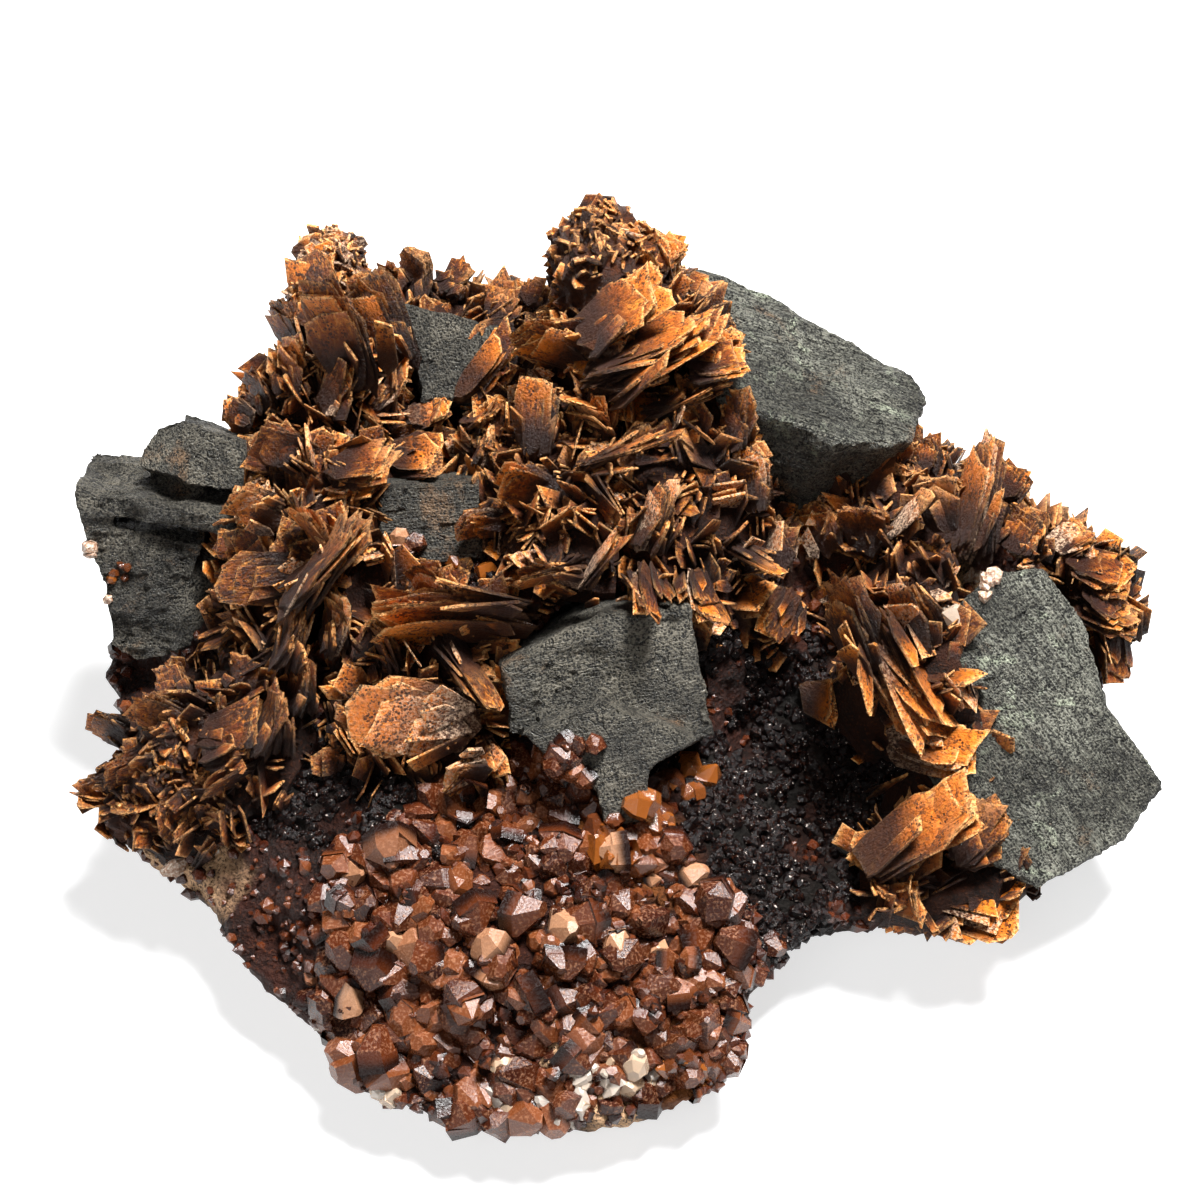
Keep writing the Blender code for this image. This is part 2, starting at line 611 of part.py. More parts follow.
def quartz_points(surface, collection, room=0.0):
    """Quartz points spaced over the front slope."""
    pick = random.Random(SEED)
    made = []
    rows = [p[1] for p in POINTS_OUTLINE]
    columns = [p[0] for p in POINTS_OUTLINE]
    row = 0
    y = min(rows)
    while y < max(rows):
        x = min(columns) + (row % 2) * POINT_PITCH / 2
        while x < max(columns):
            pixel = (x + pick.uniform(-9, 9), y + pick.uniform(-7, 7))
            if inside(pixel, POINTS_OUTLINE):
                place, normal = on_lump(pixel, surface)
                lean = Vector([pick.gauss(0, POINT_LEAN) for _ in range(3)])
                axis = (normal + lean).normalized()
                radius = pick.uniform(*POINT_RADIUS) + room
                turn = pick.uniform(0, math.pi / 3)
                name = f"quartz_point_{len(made)}"
                made.append(quartz_point(place, axis, radius, turn, name, collection))
            x += POINT_PITCH
        y += POINT_PITCH * POINT_ROW
        row += 1
    return made


def galena_block(block, name, collection):
    """A face from the photograph carried back into the specimen, with its corners cut."""
    normal = in_view(*block.lean)
    through = seen(block.through[:2], block.through[2] * MM)
    face = [seen_on_plane(pixel, through, normal) for pixel in block.face]
    centre = sum(face, Vector()) / len(face)
    front = [p + (centre - p).normalized() * GALENA_EDGE for p in face]
    sides = [p - normal * GALENA_EDGE for p in face]
    back = [centre.lerp(p, block.taper) - normal * block.depth * MM for p in face]
    return lofted([front, sides, back], name, collection)


def galena_crystal(name, collection, cutters):
    """A crystal of one or more blocks grown together, and the room to cut for it."""
    blocks = [
        galena_block(block, f"{name}_block_{i}", cutters)
        for i, block in enumerate(GALENA[name])
    ]
    crystal = blocks[0].copy()
    crystal.data = blocks[0].data.copy()
    crystal.name = name
    collection.objects.link(crystal)
    for block in blocks[1:]:
        boolean(crystal, block, "UNION")
    return [swollen(block, cutters) for block in blocks]


def book_axes(book):
    """The way a book's blades grow, the way across them and the normal to them."""
    along, rise, facing = (
        math.radians(a) for a in (book.along, book.rise, book.facing)
    )
    picture_side = in_view(-math.sin(along), math.cos(along), 0)
    grow = in_view(
        math.cos(rise) * math.cos(along),
        math.cos(rise) * math.sin(along),
        math.sin(rise),
    )
    outward = grow.cross(picture_side)
    normal = picture_side * math.cos(facing) + outward * math.sin(facing)
    return grow, normal.cross(grow), normal


def blade(foot, axes, length, width, room, name, collection):
    """One flat blade: narrow at its root, widest past the middle, blunt at its tip."""
    grow, across, normal = axes
    outline = [
        foot + grow * (out * length) + across * (aside * width) for out, aside in BLADE_OUTLINE
    ]
    half = normal * (BLADE_THICKNESS / 2 + room)
    return lofted([[p - half for p in outline], [p + half for p in outline]], name, collection)


def book_blades(book, name, pick, collection, room=0.0):
    """The main blades of a book, fewer and thicker than a close look counts."""
    axes = book_axes(book)
    grow, across, normal = axes
    root = book_root(book)
    count = max(1, round(book.blades / BLADES_IN_ONE))
    made = []
    for i in range(count):
        share = (i + 0.5) / count - 0.5
        turn = Matrix.Rotation(math.radians(book.fan * share + pick.uniform(-2, 2)), 3, across)
        twist = Matrix.Rotation(math.radians(pick.uniform(-7, 7)), 3, grow)
        length = book.length * MM * (1 - BLADE_LEAST * abs(share) + pick.uniform(-0.06, 0.04))
        width = book.width * MM * pick.uniform(0.82, 1.0)
        sunk = BLADE_SUNK * length
        foot = root + normal * (book.depth * MM * share) - grow * (sunk + room)
        foot += across * (pick.uniform(-0.08, 0.08) * width)
        turned = [turn @ twist @ axis for axis in axes]
        length += sunk + 2 * room
        width += 2 * room
        made.append(blade(foot, turned, length, width, room, f"{name}_{i}", collection))
    return made


def barite_blades(name, collection, room=0.0):
    """All the main blades of a cluster, grown by some room all round."""
    pick = random.Random(sum(map(ord, name)))
    blades = []
    for i, book in enumerate(BARITE[name]):
        label = f"{name}_{'room' if room else 'book'}_{i}"
        blades.extend(book_blades(book, label, pick, collection, room))
    return blades


def barite_cluster(name, collection, cutters, rooms):
    """One cluster, cut to leave room for what it grows on and against."""
    mound = crust(name, cutters)
    cluster = mound.copy()
    cluster.data = mound.data.copy()
    cluster.name = name
    collection.objects.link(cluster)
    for shape in barite_blades(name, cutters):
        boolean(cluster, shape, "UNION")
    bpy.context.view_layer.update()
    for room in [room for room in rooms if boxes_meet(room, cluster)]:
        boolean(cluster, room, "DIFFERENCE")
    keep_largest_piece(cluster)
    join_flat_faces(cluster)
    return [swollen(mound, cutters)] + barite_blades(name, cutters, GAP)


def main():
    for old in list(bpy.data.objects):
        bpy.data.objects.remove(old)
    noise.seed_set(SEED)
    scene = bpy.context.scene
    specimen = bpy.data.collections.new("barite_on_galena")
    cutters = bpy.data.collections.new("cutters")
    scene.collection.children.link(specimen)
    scene.collection.children.link(cutters)
    finishes = {name: material_of(name) for name in FINISHES}

    galena_rooms = []
    for name in GALENA:
        galena_rooms.extend(galena_crystal(name, specimen, cutters))

    matrix = lump(specimen)
    bm = bmesh.new()
    bm.from_mesh(matrix.data)
    surface = BVHTree.FromBMesh(bm)
    bm.free()
    rooms = galena_rooms + [swollen(matrix, cutters)] + quartz_points(surface, cutters, GAP)
    for point in quartz_points(surface, cutters):
        boolean(matrix, point, "UNION")
    for room in galena_rooms:
        boolean(matrix, room, "DIFFERENCE")
    keep_largest_piece(matrix)
    join_flat_faces(matrix)

    for name in BARITE:
        rooms.extend(barite_cluster(name, specimen, cutters, rooms))

    for made in specimen.objects:
        made.data.materials.clear()
        made.data.materials.append(finishes[made.name.split("_")[0]])
    for helper in cutters.objects:
        helper.hide_render = True
        helper.display_type = "WIRE"


if __name__ == "__main__":
    main()
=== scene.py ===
"""Barite on galena: the looks of the specimen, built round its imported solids.

Metres, +Z up. X runs to the right of the specimen as it is photographed and Y to its
back. The origin is on the flat patch under the lump that it rests on.
"""

import math
import random
from collections import namedtuple

import bmesh
import bpy
import numpy as np
from mathutils import Matrix, Vector, noise
from mathutils.bvhtree import BVHTree


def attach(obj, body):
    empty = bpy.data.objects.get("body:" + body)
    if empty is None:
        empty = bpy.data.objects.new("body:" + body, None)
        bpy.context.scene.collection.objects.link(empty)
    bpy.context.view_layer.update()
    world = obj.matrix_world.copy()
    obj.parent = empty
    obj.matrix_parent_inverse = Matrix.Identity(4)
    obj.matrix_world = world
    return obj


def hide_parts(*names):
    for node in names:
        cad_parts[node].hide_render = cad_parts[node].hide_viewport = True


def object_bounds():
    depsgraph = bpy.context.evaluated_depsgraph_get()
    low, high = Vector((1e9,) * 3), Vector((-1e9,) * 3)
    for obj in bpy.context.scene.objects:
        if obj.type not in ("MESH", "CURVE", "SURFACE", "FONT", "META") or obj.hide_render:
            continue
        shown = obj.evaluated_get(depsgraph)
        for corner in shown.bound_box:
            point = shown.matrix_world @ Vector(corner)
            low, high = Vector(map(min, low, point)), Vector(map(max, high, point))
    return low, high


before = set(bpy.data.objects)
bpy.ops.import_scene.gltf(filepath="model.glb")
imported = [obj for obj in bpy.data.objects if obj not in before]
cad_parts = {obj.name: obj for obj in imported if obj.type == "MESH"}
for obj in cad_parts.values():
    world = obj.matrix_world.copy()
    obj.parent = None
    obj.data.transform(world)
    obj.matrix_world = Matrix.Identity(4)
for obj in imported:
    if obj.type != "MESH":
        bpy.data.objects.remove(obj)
cad_box = [list(corner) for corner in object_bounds()]

MM = 0.001
SEED = 11
SPAN = 0.162  # what the photograph's width takes in, at the middle of the specimen
BLADE_SUNK = 0.25  # the share of its length that a blade goes on below its root
BLADE_LEAST = 0.5  # how much shorter a book's outer blades are than its middle ones
ROOT_COVER = 5.0  # how far a book's root is above the lump, in millimetres
CRUST_COVER = 4.5  # how thick the small blades lie on the lump, in millimetres
HILL_REACH = 5.0 * MM  # how far one height of the lump is felt
FAR_SHARE = 0.3 * MM**2  # how much the heights far away count
HILL_ROUNDS = 4  # times that the hills are corrected, each time by a share of the miss
HILL_CORRECTION = 0.7
RIM_SHARE = 0.13  # the outer part of the lump that slopes down to its rim

# Where the photograph was taken from
PHOTO_PIXELS = 1200
VIEW_ELEVATION = math.radians(50)
VIEW_DISTANCE = 0.42
VIEW_TARGET = Vector((0, 0.015, 0.028))
VIEW_RIGHT = Vector((1, 0, 0))
VIEW_UP = Vector((0, math.sin(VIEW_ELEVATION), math.cos(VIEW_ELEVATION)))
VIEW_BACK = VIEW_RIGHT.cross(VIEW_UP)  # from the specimen towards the camera
CAMERA = VIEW_TARGET + VIEW_BACK * VIEW_DISTANCE

# The lump's outline from above, anticlockwise from the front, as x, y and the height
# of its rim above the table, in millimetres
OUTLINE = [
    (0, -56, 9), (6, -53, 9), (15, -50, 10), (18, -44, 11), (20, -37, 12),
    (24, -31, 13), (28, -28, 15), (35, -27, 14), (46, -22, 12), (56, -16, 12),
    (62, -6, 14), (69, 6, 19), (72, 16, 23), (67, 27, 25), (57, 36, 25),
    (43, 44, 27), (28, 51, 29), (14, 57, 31), (0, 60, 32), (-14, 61, 32),
    (-28, 60, 32), (-40, 56, 31), (-51, 47, 28), (-60, 36, 25), (-66, 24, 20),
    (-67, 12, 16), (-65, 0, 15), (-64, -10, 16), (-61, -18, 16), (-53, -23, 14),
    (-46, -33, 12), (-37, -41, 11), (-30, -50, 10), (-22, -54, 9), (-11, -56, 9),
]  # fmt: skip

# Heights of the lump in millimetres, at pixels of the photograph
HEIGHTS = {
    (450, 1100): 11, (560, 1090): 13, (660, 1085): 11, (380, 1050): 13, (400, 1000): 17,
    (560, 1000): 19, (700, 1000): 16, (240, 930): 15, (320, 930): 20, (420, 930): 22,
    (560, 930): 23, (700, 930): 20, (770, 930): 15, (150, 830): 17, (220, 850): 19,
    (320, 850): 25, (420, 850): 27, (560, 850): 27, (700, 850): 24, (800, 850): 15,
    (300, 780): 25, (390, 780): 28, (480, 790): 27, (620, 800): 28, (700, 780): 25,
    (790, 770): 18, (850, 800): 15, (760, 690): 22, (850, 700): 20, (790, 620): 27,
    (130, 640): 20, (120, 540): 28, (200, 450): 38, (430, 520): 38, (450, 350): 46,
    (620, 680): 31, (780, 330): 46, (850, 400): 40, (900, 420): 34, (1020, 620): 24,
    (1080, 580): 22, (1050, 720): 15, (1080, 800): 10,
}  # fmt: skip

# Heights of the lump on its hidden back, in millimetres, at x and y
BACK_HEIGHTS = {
    (-54, 36): 34, (-44, 47): 41, (-34, 53): 42, (-22, 55): 42, (-10, 55): 42,
    (0, 54): 47, (10, 52): 50, (20, 48): 44, (32, 44): 36, (46, 36): 31,
    (57, 28): 28,
}  # fmt: skip

# A book of barite is a stack of blades spreading from one root.
# seen: the root's pixel in the photograph. height: the root's, in mm.
# along: the way the blades grow in the picture, in degrees, 0 right and 90 up.
# rise: how far they come out of the picture, in degrees.
# facing: 0 shows their edges and 90 their flat sides.
# length, width and depth: of the whole book, in mm.
# blades: how many a close look counts. fan: the angle they spread over, in degrees.
Book = namedtuple(
    "Book", "seen height along rise facing length width depth blades fan"
)
BARITE = {
    "barite_left_crest": [
        Book((358, 372), 56, 112, 25, 50, 15, 10, 3, 6, 14),
        Book((394, 354), 54, 113, 20, 55, 13, 10, 3, 5, 12),
        Book((318, 322), 57, 96, 5, 60, 10, 9, 4, 6, 30),
        Book((340, 290), 58, 80, 0, 68, 7, 8, 3, 4, 26),
        Book((302, 345), 53, 125, 10, 25, 8, 8, 4, 6, 30),
        Book((300, 390), 51, 100, 15, 35, 8, 7, 4, 6, 25),
        Book((335, 405), 52, 70, 30, 45, 8, 7, 4, 6, 40),
        Book((272, 402), 47, 130, 0, 30, 6, 6, 4, 6, 40),
        Book((250, 415), 46, 165, 0, 60, 4, 6, 4, 5, 40),
        Book((385, 402), 50, 60, 30, 30, 7, 6, 4, 6, 50),
        Book((415, 420), 48, 20, 25, 50, 6, 6, 4, 5, 50),
    ],
    "barite_left_middle": [
        Book((300, 458), 49, 150, 25, 65, 8, 9, 4, 5, 25),
        Book((345, 472), 49, 5, 35, 45, 9, 9, 5, 6, 20),
        Book((400, 460), 46, 10, 20, 70, 7, 8, 3, 4, 30),
        Book((272, 512), 46, 165, 25, 50, 7, 7, 4, 5, 30),
        Book((335, 555), 45, 125, 20, 20, 9, 8, 4, 7, 25),
        Book((300, 600), 43, 52, 20, 25, 17, 9, 4, 6, 14),
        Book((292, 575), 41, 185, 20, 60, 11, 9, 3, 5, 16),
        Book((255, 550), 39, 170, 5, 75, 6, 6, 2, 3, 10),
        Book((285, 660), 37, 72, 10, 20, 10, 6, 4, 6, 16),
        Book((335, 645), 38, 85, 25, 35, 9, 7, 4, 6, 30),
    ],
    "barite_saddle": [
        Book((420, 294), 51, 95, 15, 45, 8, 7, 4, 6, 50),
        Book((402, 288), 51, 140, 5, 30, 5, 6, 3, 5, 40),
        Book((446, 288), 51, 50, 10, 50, 5, 6, 3, 5, 40),
        Book((500, 316), 52, 80, 10, 60, 5, 7, 4, 5, 50),
        Book((532, 303), 54, 70, 5, 70, 4, 5, 3, 4, 40),
        Book((505, 332), 53, 200, 25, 60, 7, 6, 3, 4, 40),
    ],
    "barite_crown": [
        Book((610, 272), 65, 95, 5, 40, 10.5, 9, 6, 8, 60),
        Book((588, 295), 63, 112, 0, 20, 8, 7, 5, 7, 30),
        Book((652, 268), 64, 50, 5, 50, 6, 7, 4, 6, 60),
        Book((596, 335), 62, 40, 25, 45, 13, 12, 5, 7, 20),
        Book((612, 378), 60, 29, 12, 25, 18, 12, 6, 9, 14),
        Book((700, 372), 60, 18, 10, 35, 7, 10, 6, 8, 50),
        Book((575, 348), 59, 165, 25, 35, 9, 9, 5, 7, 25),
    ],
    "barite_centre": [
        Book((470, 388), 52, 48, 15, 60, 12, 6, 3, 4, 10),
        Book((475, 425), 49, 40, 30, 10, 6, 5, 4, 7, 60),
        Book((535, 445), 52, 85, 15, 60, 10, 7, 3, 4, 12),
        Book((596, 462), 55, 19, 12, 20, 13, 4, 2, 2, 4),
        Book((548, 492), 49, 160, 30, 55, 8, 8, 4, 5, 40),
        Book((495, 520), 45, 190, 20, 40, 6, 6, 4, 6, 40),
        Book((485, 462), 48, 80, 10, 10, 6, 3, 4, 4, 40),
        Book((575, 572), 48, 185, 20, 15, 9, 6, 5, 8, 60),
        Book((588, 580), 49, 55, 25, 20, 9, 6, 2, 3, 16),
    ],
    "barite_centre_right": [
        Book((600, 435), 54, 100, 45, 40, 7, 6, 5, 8, 90),
        Book((655, 412), 56, 18, 20, 15, 11, 6, 3, 4, 16),
        Book((735, 440), 52, 85, 25, 50, 8, 7, 4, 6, 30),
        Book((752, 500), 46, 95, 20, 55, 8, 7, 4, 5, 30),
        Book((650, 540), 49, 68, 25, 25, 9, 7, 5, 8, 18),
        Book((640, 575), 48, 285, 35, 40, 8, 5, 4, 5, 30),
        Book((692, 585), 44, 300, 30, 40, 7, 6, 5, 6, 50),
        Book((740, 552), 43, 335, 20, 20, 8, 5, 2, 3, 14),
        Book((788, 600), 35, 245, 20, 55, 8, 7, 2, 3, 12),
    ],
    "barite_front_fan": [
        Book((505, 618), 43, 178, 12, 30, 19, 12, 5, 7, 12),
        Book((450, 648), 41, 308, 20, 25, 11, 7, 3, 5, 14),
        Book((455, 722), 35, 175, 25, 65, 15, 12, 4, 6, 14),
        Book((440, 600), 42, 110, 25, 40, 6, 7, 4, 6, 40),
        Book((508, 712), 33, 100, 20, 60, 7, 6, 3, 4, 30),
        Book((478, 768), 31, 200, 30, 40, 6, 6, 4, 6, 50),
        Book((398, 660), 39, 120, 30, 20, 7, 6, 4, 6, 40),
    ],
    "barite_lower_left": [
        Book((218, 742), 28, 30, 30, 55, 9, 10, 5, 8, 40),
        Book((190, 722), 28, 160, 20, 50, 9, 9, 5, 8, 40),
        Book((150, 765), 23, 200, 20, 40, 7, 8, 6, 9, 60),
        Book((185, 800), 21, 240, 20, 40, 6, 8, 5, 8, 60),
        Book((268, 745), 30, 75, 20, 30, 9, 7, 5, 7, 30),
        Book((246, 770), 27, 205, 30, 20, 8, 6, 2, 3, 12),
        Book((180, 695), 27, 120, 10, 60, 5, 6, 4, 5, 40),
        Book((245, 685), 31, 90, 20, 60, 5, 6, 3, 4, 40),
        Book((302, 705), 32, 85, 20, 30, 8, 6, 4, 6, 30),
        Book((122, 730), 22, 165, 10, 40, 5, 6, 4, 6, 50),
        Book((112, 785), 19, 195, 5, 50, 5, 6, 4, 6, 50),
    ],
    "barite_right_tips": [
        Book((880, 462), 43, 95, 15, 55, 6, 8, 4, 5, 40),
        Book((842, 482), 42, 145, 15, 45, 6, 6, 4, 5, 40),
        Book((940, 522), 40, 95, 30, 70, 8, 8, 3, 3, 16),
        Book((975, 540), 37, 83, 5, 25, 16, 9, 6, 8, 22),
        Book((932, 468), 41, 95, 0, 40, 5, 5, 3, 4, 30),
        Book((1003, 492), 38, 62, 0, 60, 5, 7, 3, 4, 40),
        Book((872, 542), 38, 110, 30, 60, 7, 8, 4, 4, 40),
        Book((898, 528), 41, 50, 30, 40, 8, 5, 2, 2, 10),
        Book((832, 542), 36, 120, 15, 55, 7, 7, 4, 5, 40),
        Book((1020, 548), 34, 72, 15, 45, 6, 8, 5, 7, 50),
    ],
    "barite_right_stack": [
        Book((878, 640), 36, 298, 12, 28, 17, 12, 8, 9, 18),
        Book((872, 655), 36, 118, 15, 28, 13, 10, 7, 8, 20),
        Book((925, 640), 36, 120, 15, 35, 9, 8, 5, 6, 24),
        Book((905, 740), 28, 352, 15, 60, 11, 9, 3, 4, 10),
    ],
    "barite_right_rosette": [
        Book((885, 858), 18, 38, 25, 50, 17, 11, 5, 5, 14),
        Book((965, 850), 18, 55, 20, 55, 9, 9, 5, 5, 30),
        Book((945, 898), 12, 352, 10, 55, 11, 12, 6, 7, 20),
        Book((930, 902), 12, 190, 10, 50, 8, 11, 5, 6, 20),
    ],
    "barite_far_right": [
        Book((1078, 572), 29, 350, 15, 45, 8, 9, 6, 8, 40),
        Book((1088, 604), 27, 338, 15, 40, 8, 9, 6, 8, 40),
        Book((1112, 642), 23, 275, 10, 65, 7, 6, 3, 3, 14),
        Book((1062, 550), 31, 40, 10, 45, 5, 8, 5, 6, 40),
    ],
}  # fmt: skip

# How far each cluster covers the lump, from above, as x and y in millimetres
CRUSTS = {
    "barite_left_crest": [(-47, 36), (-45, 45), (-39, 51), (-31, 51), (-27, 45), (-27, 36),
                          (-29, 29), (-37, 27), (-45, 30)],
    "barite_left_middle": [(-50, 20), (-48, 29), (-38, 26), (-29, 28), (-20, 28), (-23, 21),
                           (-29, 18), (-29, 12), (-23, 8), (-32, 4), (-42, 3), (-50, 9)],
    "barite_saddle": [(-29, 46), (-29, 54), (-18, 56), (-8, 53), (-5, 45), (-9, 37),
                      (-15, 38), (-18, 45)],
    "barite_crown": [(-8, 42), (-6, 50), (2, 53), (11, 51), (15, 45), (19, 38), (16, 31),
                     (6, 28), (-4, 30), (-10, 35)],
    "barite_centre": [(-21, 27), (-14, 35), (-8, 34), (-4, 28), (3, 26), (3, 14), (2, 4),
                      (-6, 3), (-12, 7), (-15, 15)],
    "barite_centre_right": [(4, 26), (14, 29), (22, 28), (27, 18), (24, 10), (17, 3), (8, 2),
                            (4, 8)],
    "barite_front_fan": [(-35, -3), (-32, 3), (-23, 7), (-14, 8), (-11, 2), (-10, -5),
                         (-13, -13), (-21, -16), (-30, -14), (-36, -9)],
    "barite_lower_left": [(-67, -6), (-63, 3), (-54, 7), (-45, 4), (-37, 0), (-37, -8),
                          (-41, -15), (-49, -18), (-57, -19), (-64, -14)],
    "barite_right_tips": [(28, 24), (31, 33), (38, 38), (47, 36), (55, 33), (59, 27),
                          (52, 22), (44, 19), (36, 18), (29, 18)],
    "barite_right_stack": [(29, 9), (31, 16), (38, 17), (46, 17), (49, 8), (48, -1), (51, -7),
                           (43, -9), (35, -7), (29, 0)],
    "barite_right_rosette": [(34, -16), (38, -10), (46, -9), (53, -9), (57, -14), (57, -20),
                             (52, -25), (43, -27), (34, -26)],
    "barite_far_right": [(56, 26), (60, 31), (68, 29), (73, 22), (73, 14), (68, 10), (63, 17)],
}  # fmt: skip


def clamped(value):
    return max(0.0, min(1.0, value))


def sides(outline):
    """Each corner of a closed outline, with the next one."""
    return zip(outline, outline[1:] + outline[:1])


def middle_of(outline):
    count = len(outline)
    return sum(c[0] for c in outline) / count, sum(c[1] for c in outline) / count


def seen(pixel, height):
    """The point at a height above the table, in metres, that the photograph shows at a pixel."""
    across = (pixel[0] / PHOTO_PIXELS - 0.5) * SPAN
    up = (0.5 - pixel[1] / PHOTO_PIXELS) * SPAN
    ray = VIEW_TARGET + VIEW_RIGHT * across + VIEW_UP * up - CAMERA
    return CAMERA + ray * ((height - CAMERA.z) / ray.z)


def in_view(right, up, back):
    """A direction given by its parts along the picture and out of it."""
    return (VIEW_RIGHT * right + VIEW_UP * up + VIEW_BACK * back).normalized()


def book_root(book):
    return seen(book.seen, book.height * MM)


def smooth_mean(hills, x, y):
    """A mean of hills' heights in which the near ones count most."""
    total = weight = 0
    for place, height in hills:
        away = (place.x - x) ** 2 + (place.y - y) ** 2
        share = math.exp(-away / (2 * HILL_REACH**2)) + FAR_SHARE / (away + HILL_REACH**2)
        total += share * height
        weight += share
    return total / weight


def fitted_hills():
    """Hills whose smooth mean passes through the heights listed, and under every book."""
    known = [(seen(pixel, z * MM), z * MM) for pixel, z in HEIGHTS.items()]
    known.extend((Vector((x, y, z)) * MM, z * MM) for (x, y), z in BACK_HEIGHTS.items())
    for books in BARITE.values():
        for book in books:
            root = book_root(book)
            known.append((root, root.z - ROOT_COVER * MM))
    hills = known
    for _ in range(HILL_ROUNDS):
        misses = [height - smooth_mean(hills, place.x, place.y) for place, height in known]
        hills = [
            (place, height + HILL_CORRECTION * miss)
            for (place, height), miss in zip(hills, misses)
        ]
    return hills


HILLS = fitted_hills()
RIM = [Vector((x, y, z)) * MM for x, y, z in OUTLINE]


def rim_beyond(x, y):
    """The point of the lump's rim on the line from its middle through a place."""
    for start, end in sides(RIM):
        first = start.x * y - start.y * x
        second = x * end.y - y * end.x
        if first >= 0 and second >= 0:
            return start.lerp(end, first / (first + second))
    return RIM[0]


def lump_height(x, y):
    """The height of the lump's top at a place, which comes down to the rim at its edge."""
    rim = rim_beyond(x, y)
    share = math.hypot(x, y) / math.hypot(rim.x, rim.y)
    inland = clamped((1 - share) / RIM_SHARE)
    inland = inland * inland * (3 - 2 * inland)
    return rim.z + (smooth_mean(HILLS, x, y) - rim.z) * inland


def inside(pixel, outline):
    """Whether a pixel is inside a closed outline of pixels."""
    within = False
    for (x0, y0), (x1, y1) in sides(outline):
        if (y0 > pixel[1]) != (y1 > pixel[1]):
            if pixel[0] < x0 + (pixel[1] - y0) * (x1 - x0) / (y1 - y0):
                within = not within
    return within


def on_lump(pixel, surface):
    """The place on the lump that the photograph shows at a pixel, and its normal."""
    place, normal, _, _ = surface.ray_cast(CAMERA, seen(pixel, 0) - CAMERA)
    return place, normal


def book_axes(book):
    """The way a book's blades grow, the way across them and the normal to them."""
    along, rise, facing = (
        math.radians(a) for a in (book.along, book.rise, book.facing)
    )
    picture_side = in_view(-math.sin(along), math.cos(along), 0)
    grow = in_view(
        math.cos(rise) * math.cos(along),
        math.cos(rise) * math.sin(along),
        math.sin(rise),
    )
    outward = grow.cross(picture_side)
    normal = picture_side * math.cos(facing) + outward * math.sin(facing)
    return grow, normal.cross(grow), normal


# Meshes

ROUND_SHARE = 0.28  # how many of the large blades have a rounded outline
POINT_SIDES = 6  # of a quartz crystal
ROOT_SUNK = 0.6  # how deep a quartz point's root is, in its radii
EDGE_ROOM = 0.02 * MM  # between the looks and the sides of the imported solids' box
FULL_RINGS = [(0.50, 0.50, 0.0), (0.93, 0.46, 0.4), (1.0, 0.20, 1.0), (0.92, 0.0, 0.6),
              (0.99, -0.20, 1.0), (0.91, -0.46, 0.4), (0.50, -0.50, 0.0)]
SMALL_RINGS = [(0.55, 0.50, 0.0), (0.96, 0.42, 0.7), (1.0, 0.0, 1.0), (0.95, -0.42, 0.7),
               (0.55, -0.50, 0.0)]


def scatter(pick, spread):
    """A random way, as uneven as the spread says."""
    return Vector([pick.gauss(0, spread) for _ in range(3)])


def turned(degrees, axis):
    return Matrix.Rotation(math.radians(degrees), 3, axis)


def ring_faces(rings, count, rising=False):
    """The faces between rings of points, which are listed from the top down or rising."""
    faces = []
    for ring in range(rings - 1):
        for i in range(count):
            after = (i + 1) % count
            a, b = ring * count, (ring + 1) * count
            if rising:
                faces.append((a + i, a + after, b + after, b + i))
            else:
                faces.append((a + i, b + i, b + after, a + after))
    return faces


def linked(name, data):
    """A new object in the scene."""
    made = bpy.data.objects.new(name, data)
    bpy.context.scene.collection.objects.link(made)
    return made


def boxed(places):
    """The places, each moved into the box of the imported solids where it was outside."""
    low, high = (np.array(corner) for corner in cad_box)
    return np.clip(places, low + EDGE_ROOM, high - EDGE_ROOM)


class Heap:
    """Many small crystals gathered into one mesh, with what their material reads.

    tone: a crystal's own shade. rim: 1 at its edges. grain: millimetres along and
    across it, for streaks. lift: 0 at its root and 1 at its free end, and the materials paint
    shade where it is low.
    """

    def __init__(self):
        self.points, self.faces, self.tone, self.rim, self.grain = [], [], [], [], []
        self.kinds, self.lift = [], []

    def add(self, points, faces, tone, rim, grain, lift, kind=0):
        first = len(self.points)
        self.lift.extend(lift)
        self.points.extend(points)
        self.faces.extend([tuple(first + i for i in face) for face in faces])
        self.tone.extend([tone] * len(points))
        self.rim.extend(rim)
        self.grain.extend(grain)
        self.kinds.extend([kind] * len(faces))

    def piece(self, name, materials, sharp):
        """The heap as one object, whose faces meet in an edge above the sharp angle."""
        mesh = bpy.data.meshes.new(name)
        mesh.from_pydata(boxed(np.array(self.points)).tolist(), [], self.faces)
        for material in materials:
            mesh.materials.append(material)
        mesh.polygons.foreach_set("material_index", self.kinds)
        number(mesh, "tone", self.tone)
        number(mesh, "rim", self.rim)
        number(mesh, "lift", self.lift)
        grain = mesh.attributes.new("grain", "FLOAT_VECTOR", "POINT")
        grain.data.foreach_set("vector", np.array(self.grain, dtype=np.float32).ravel())
        mesh.shade_smooth()
        mesh.set_sharp_from_angle(angle=math.radians(sharp))
        return linked(name, mesh)


def number(mesh, name, values):
    """Gives a mesh one named number per vertex."""
    layer = mesh.attributes.new(name, "FLOAT", "POINT")
    layer.data.foreach_set("value", np.array(values, dtype=np.float32))


def settle(made, slot, *nodes):
    """Puts a piece under the root body and hides the imported solids that it stands for. What it
    belongs to, its slot, is not used.
    """
    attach(made, "root")
    if nodes:
        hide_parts(*nodes)
    return made


def power(value, exponent):
    return math.copysign(abs(value) ** exponent, value)


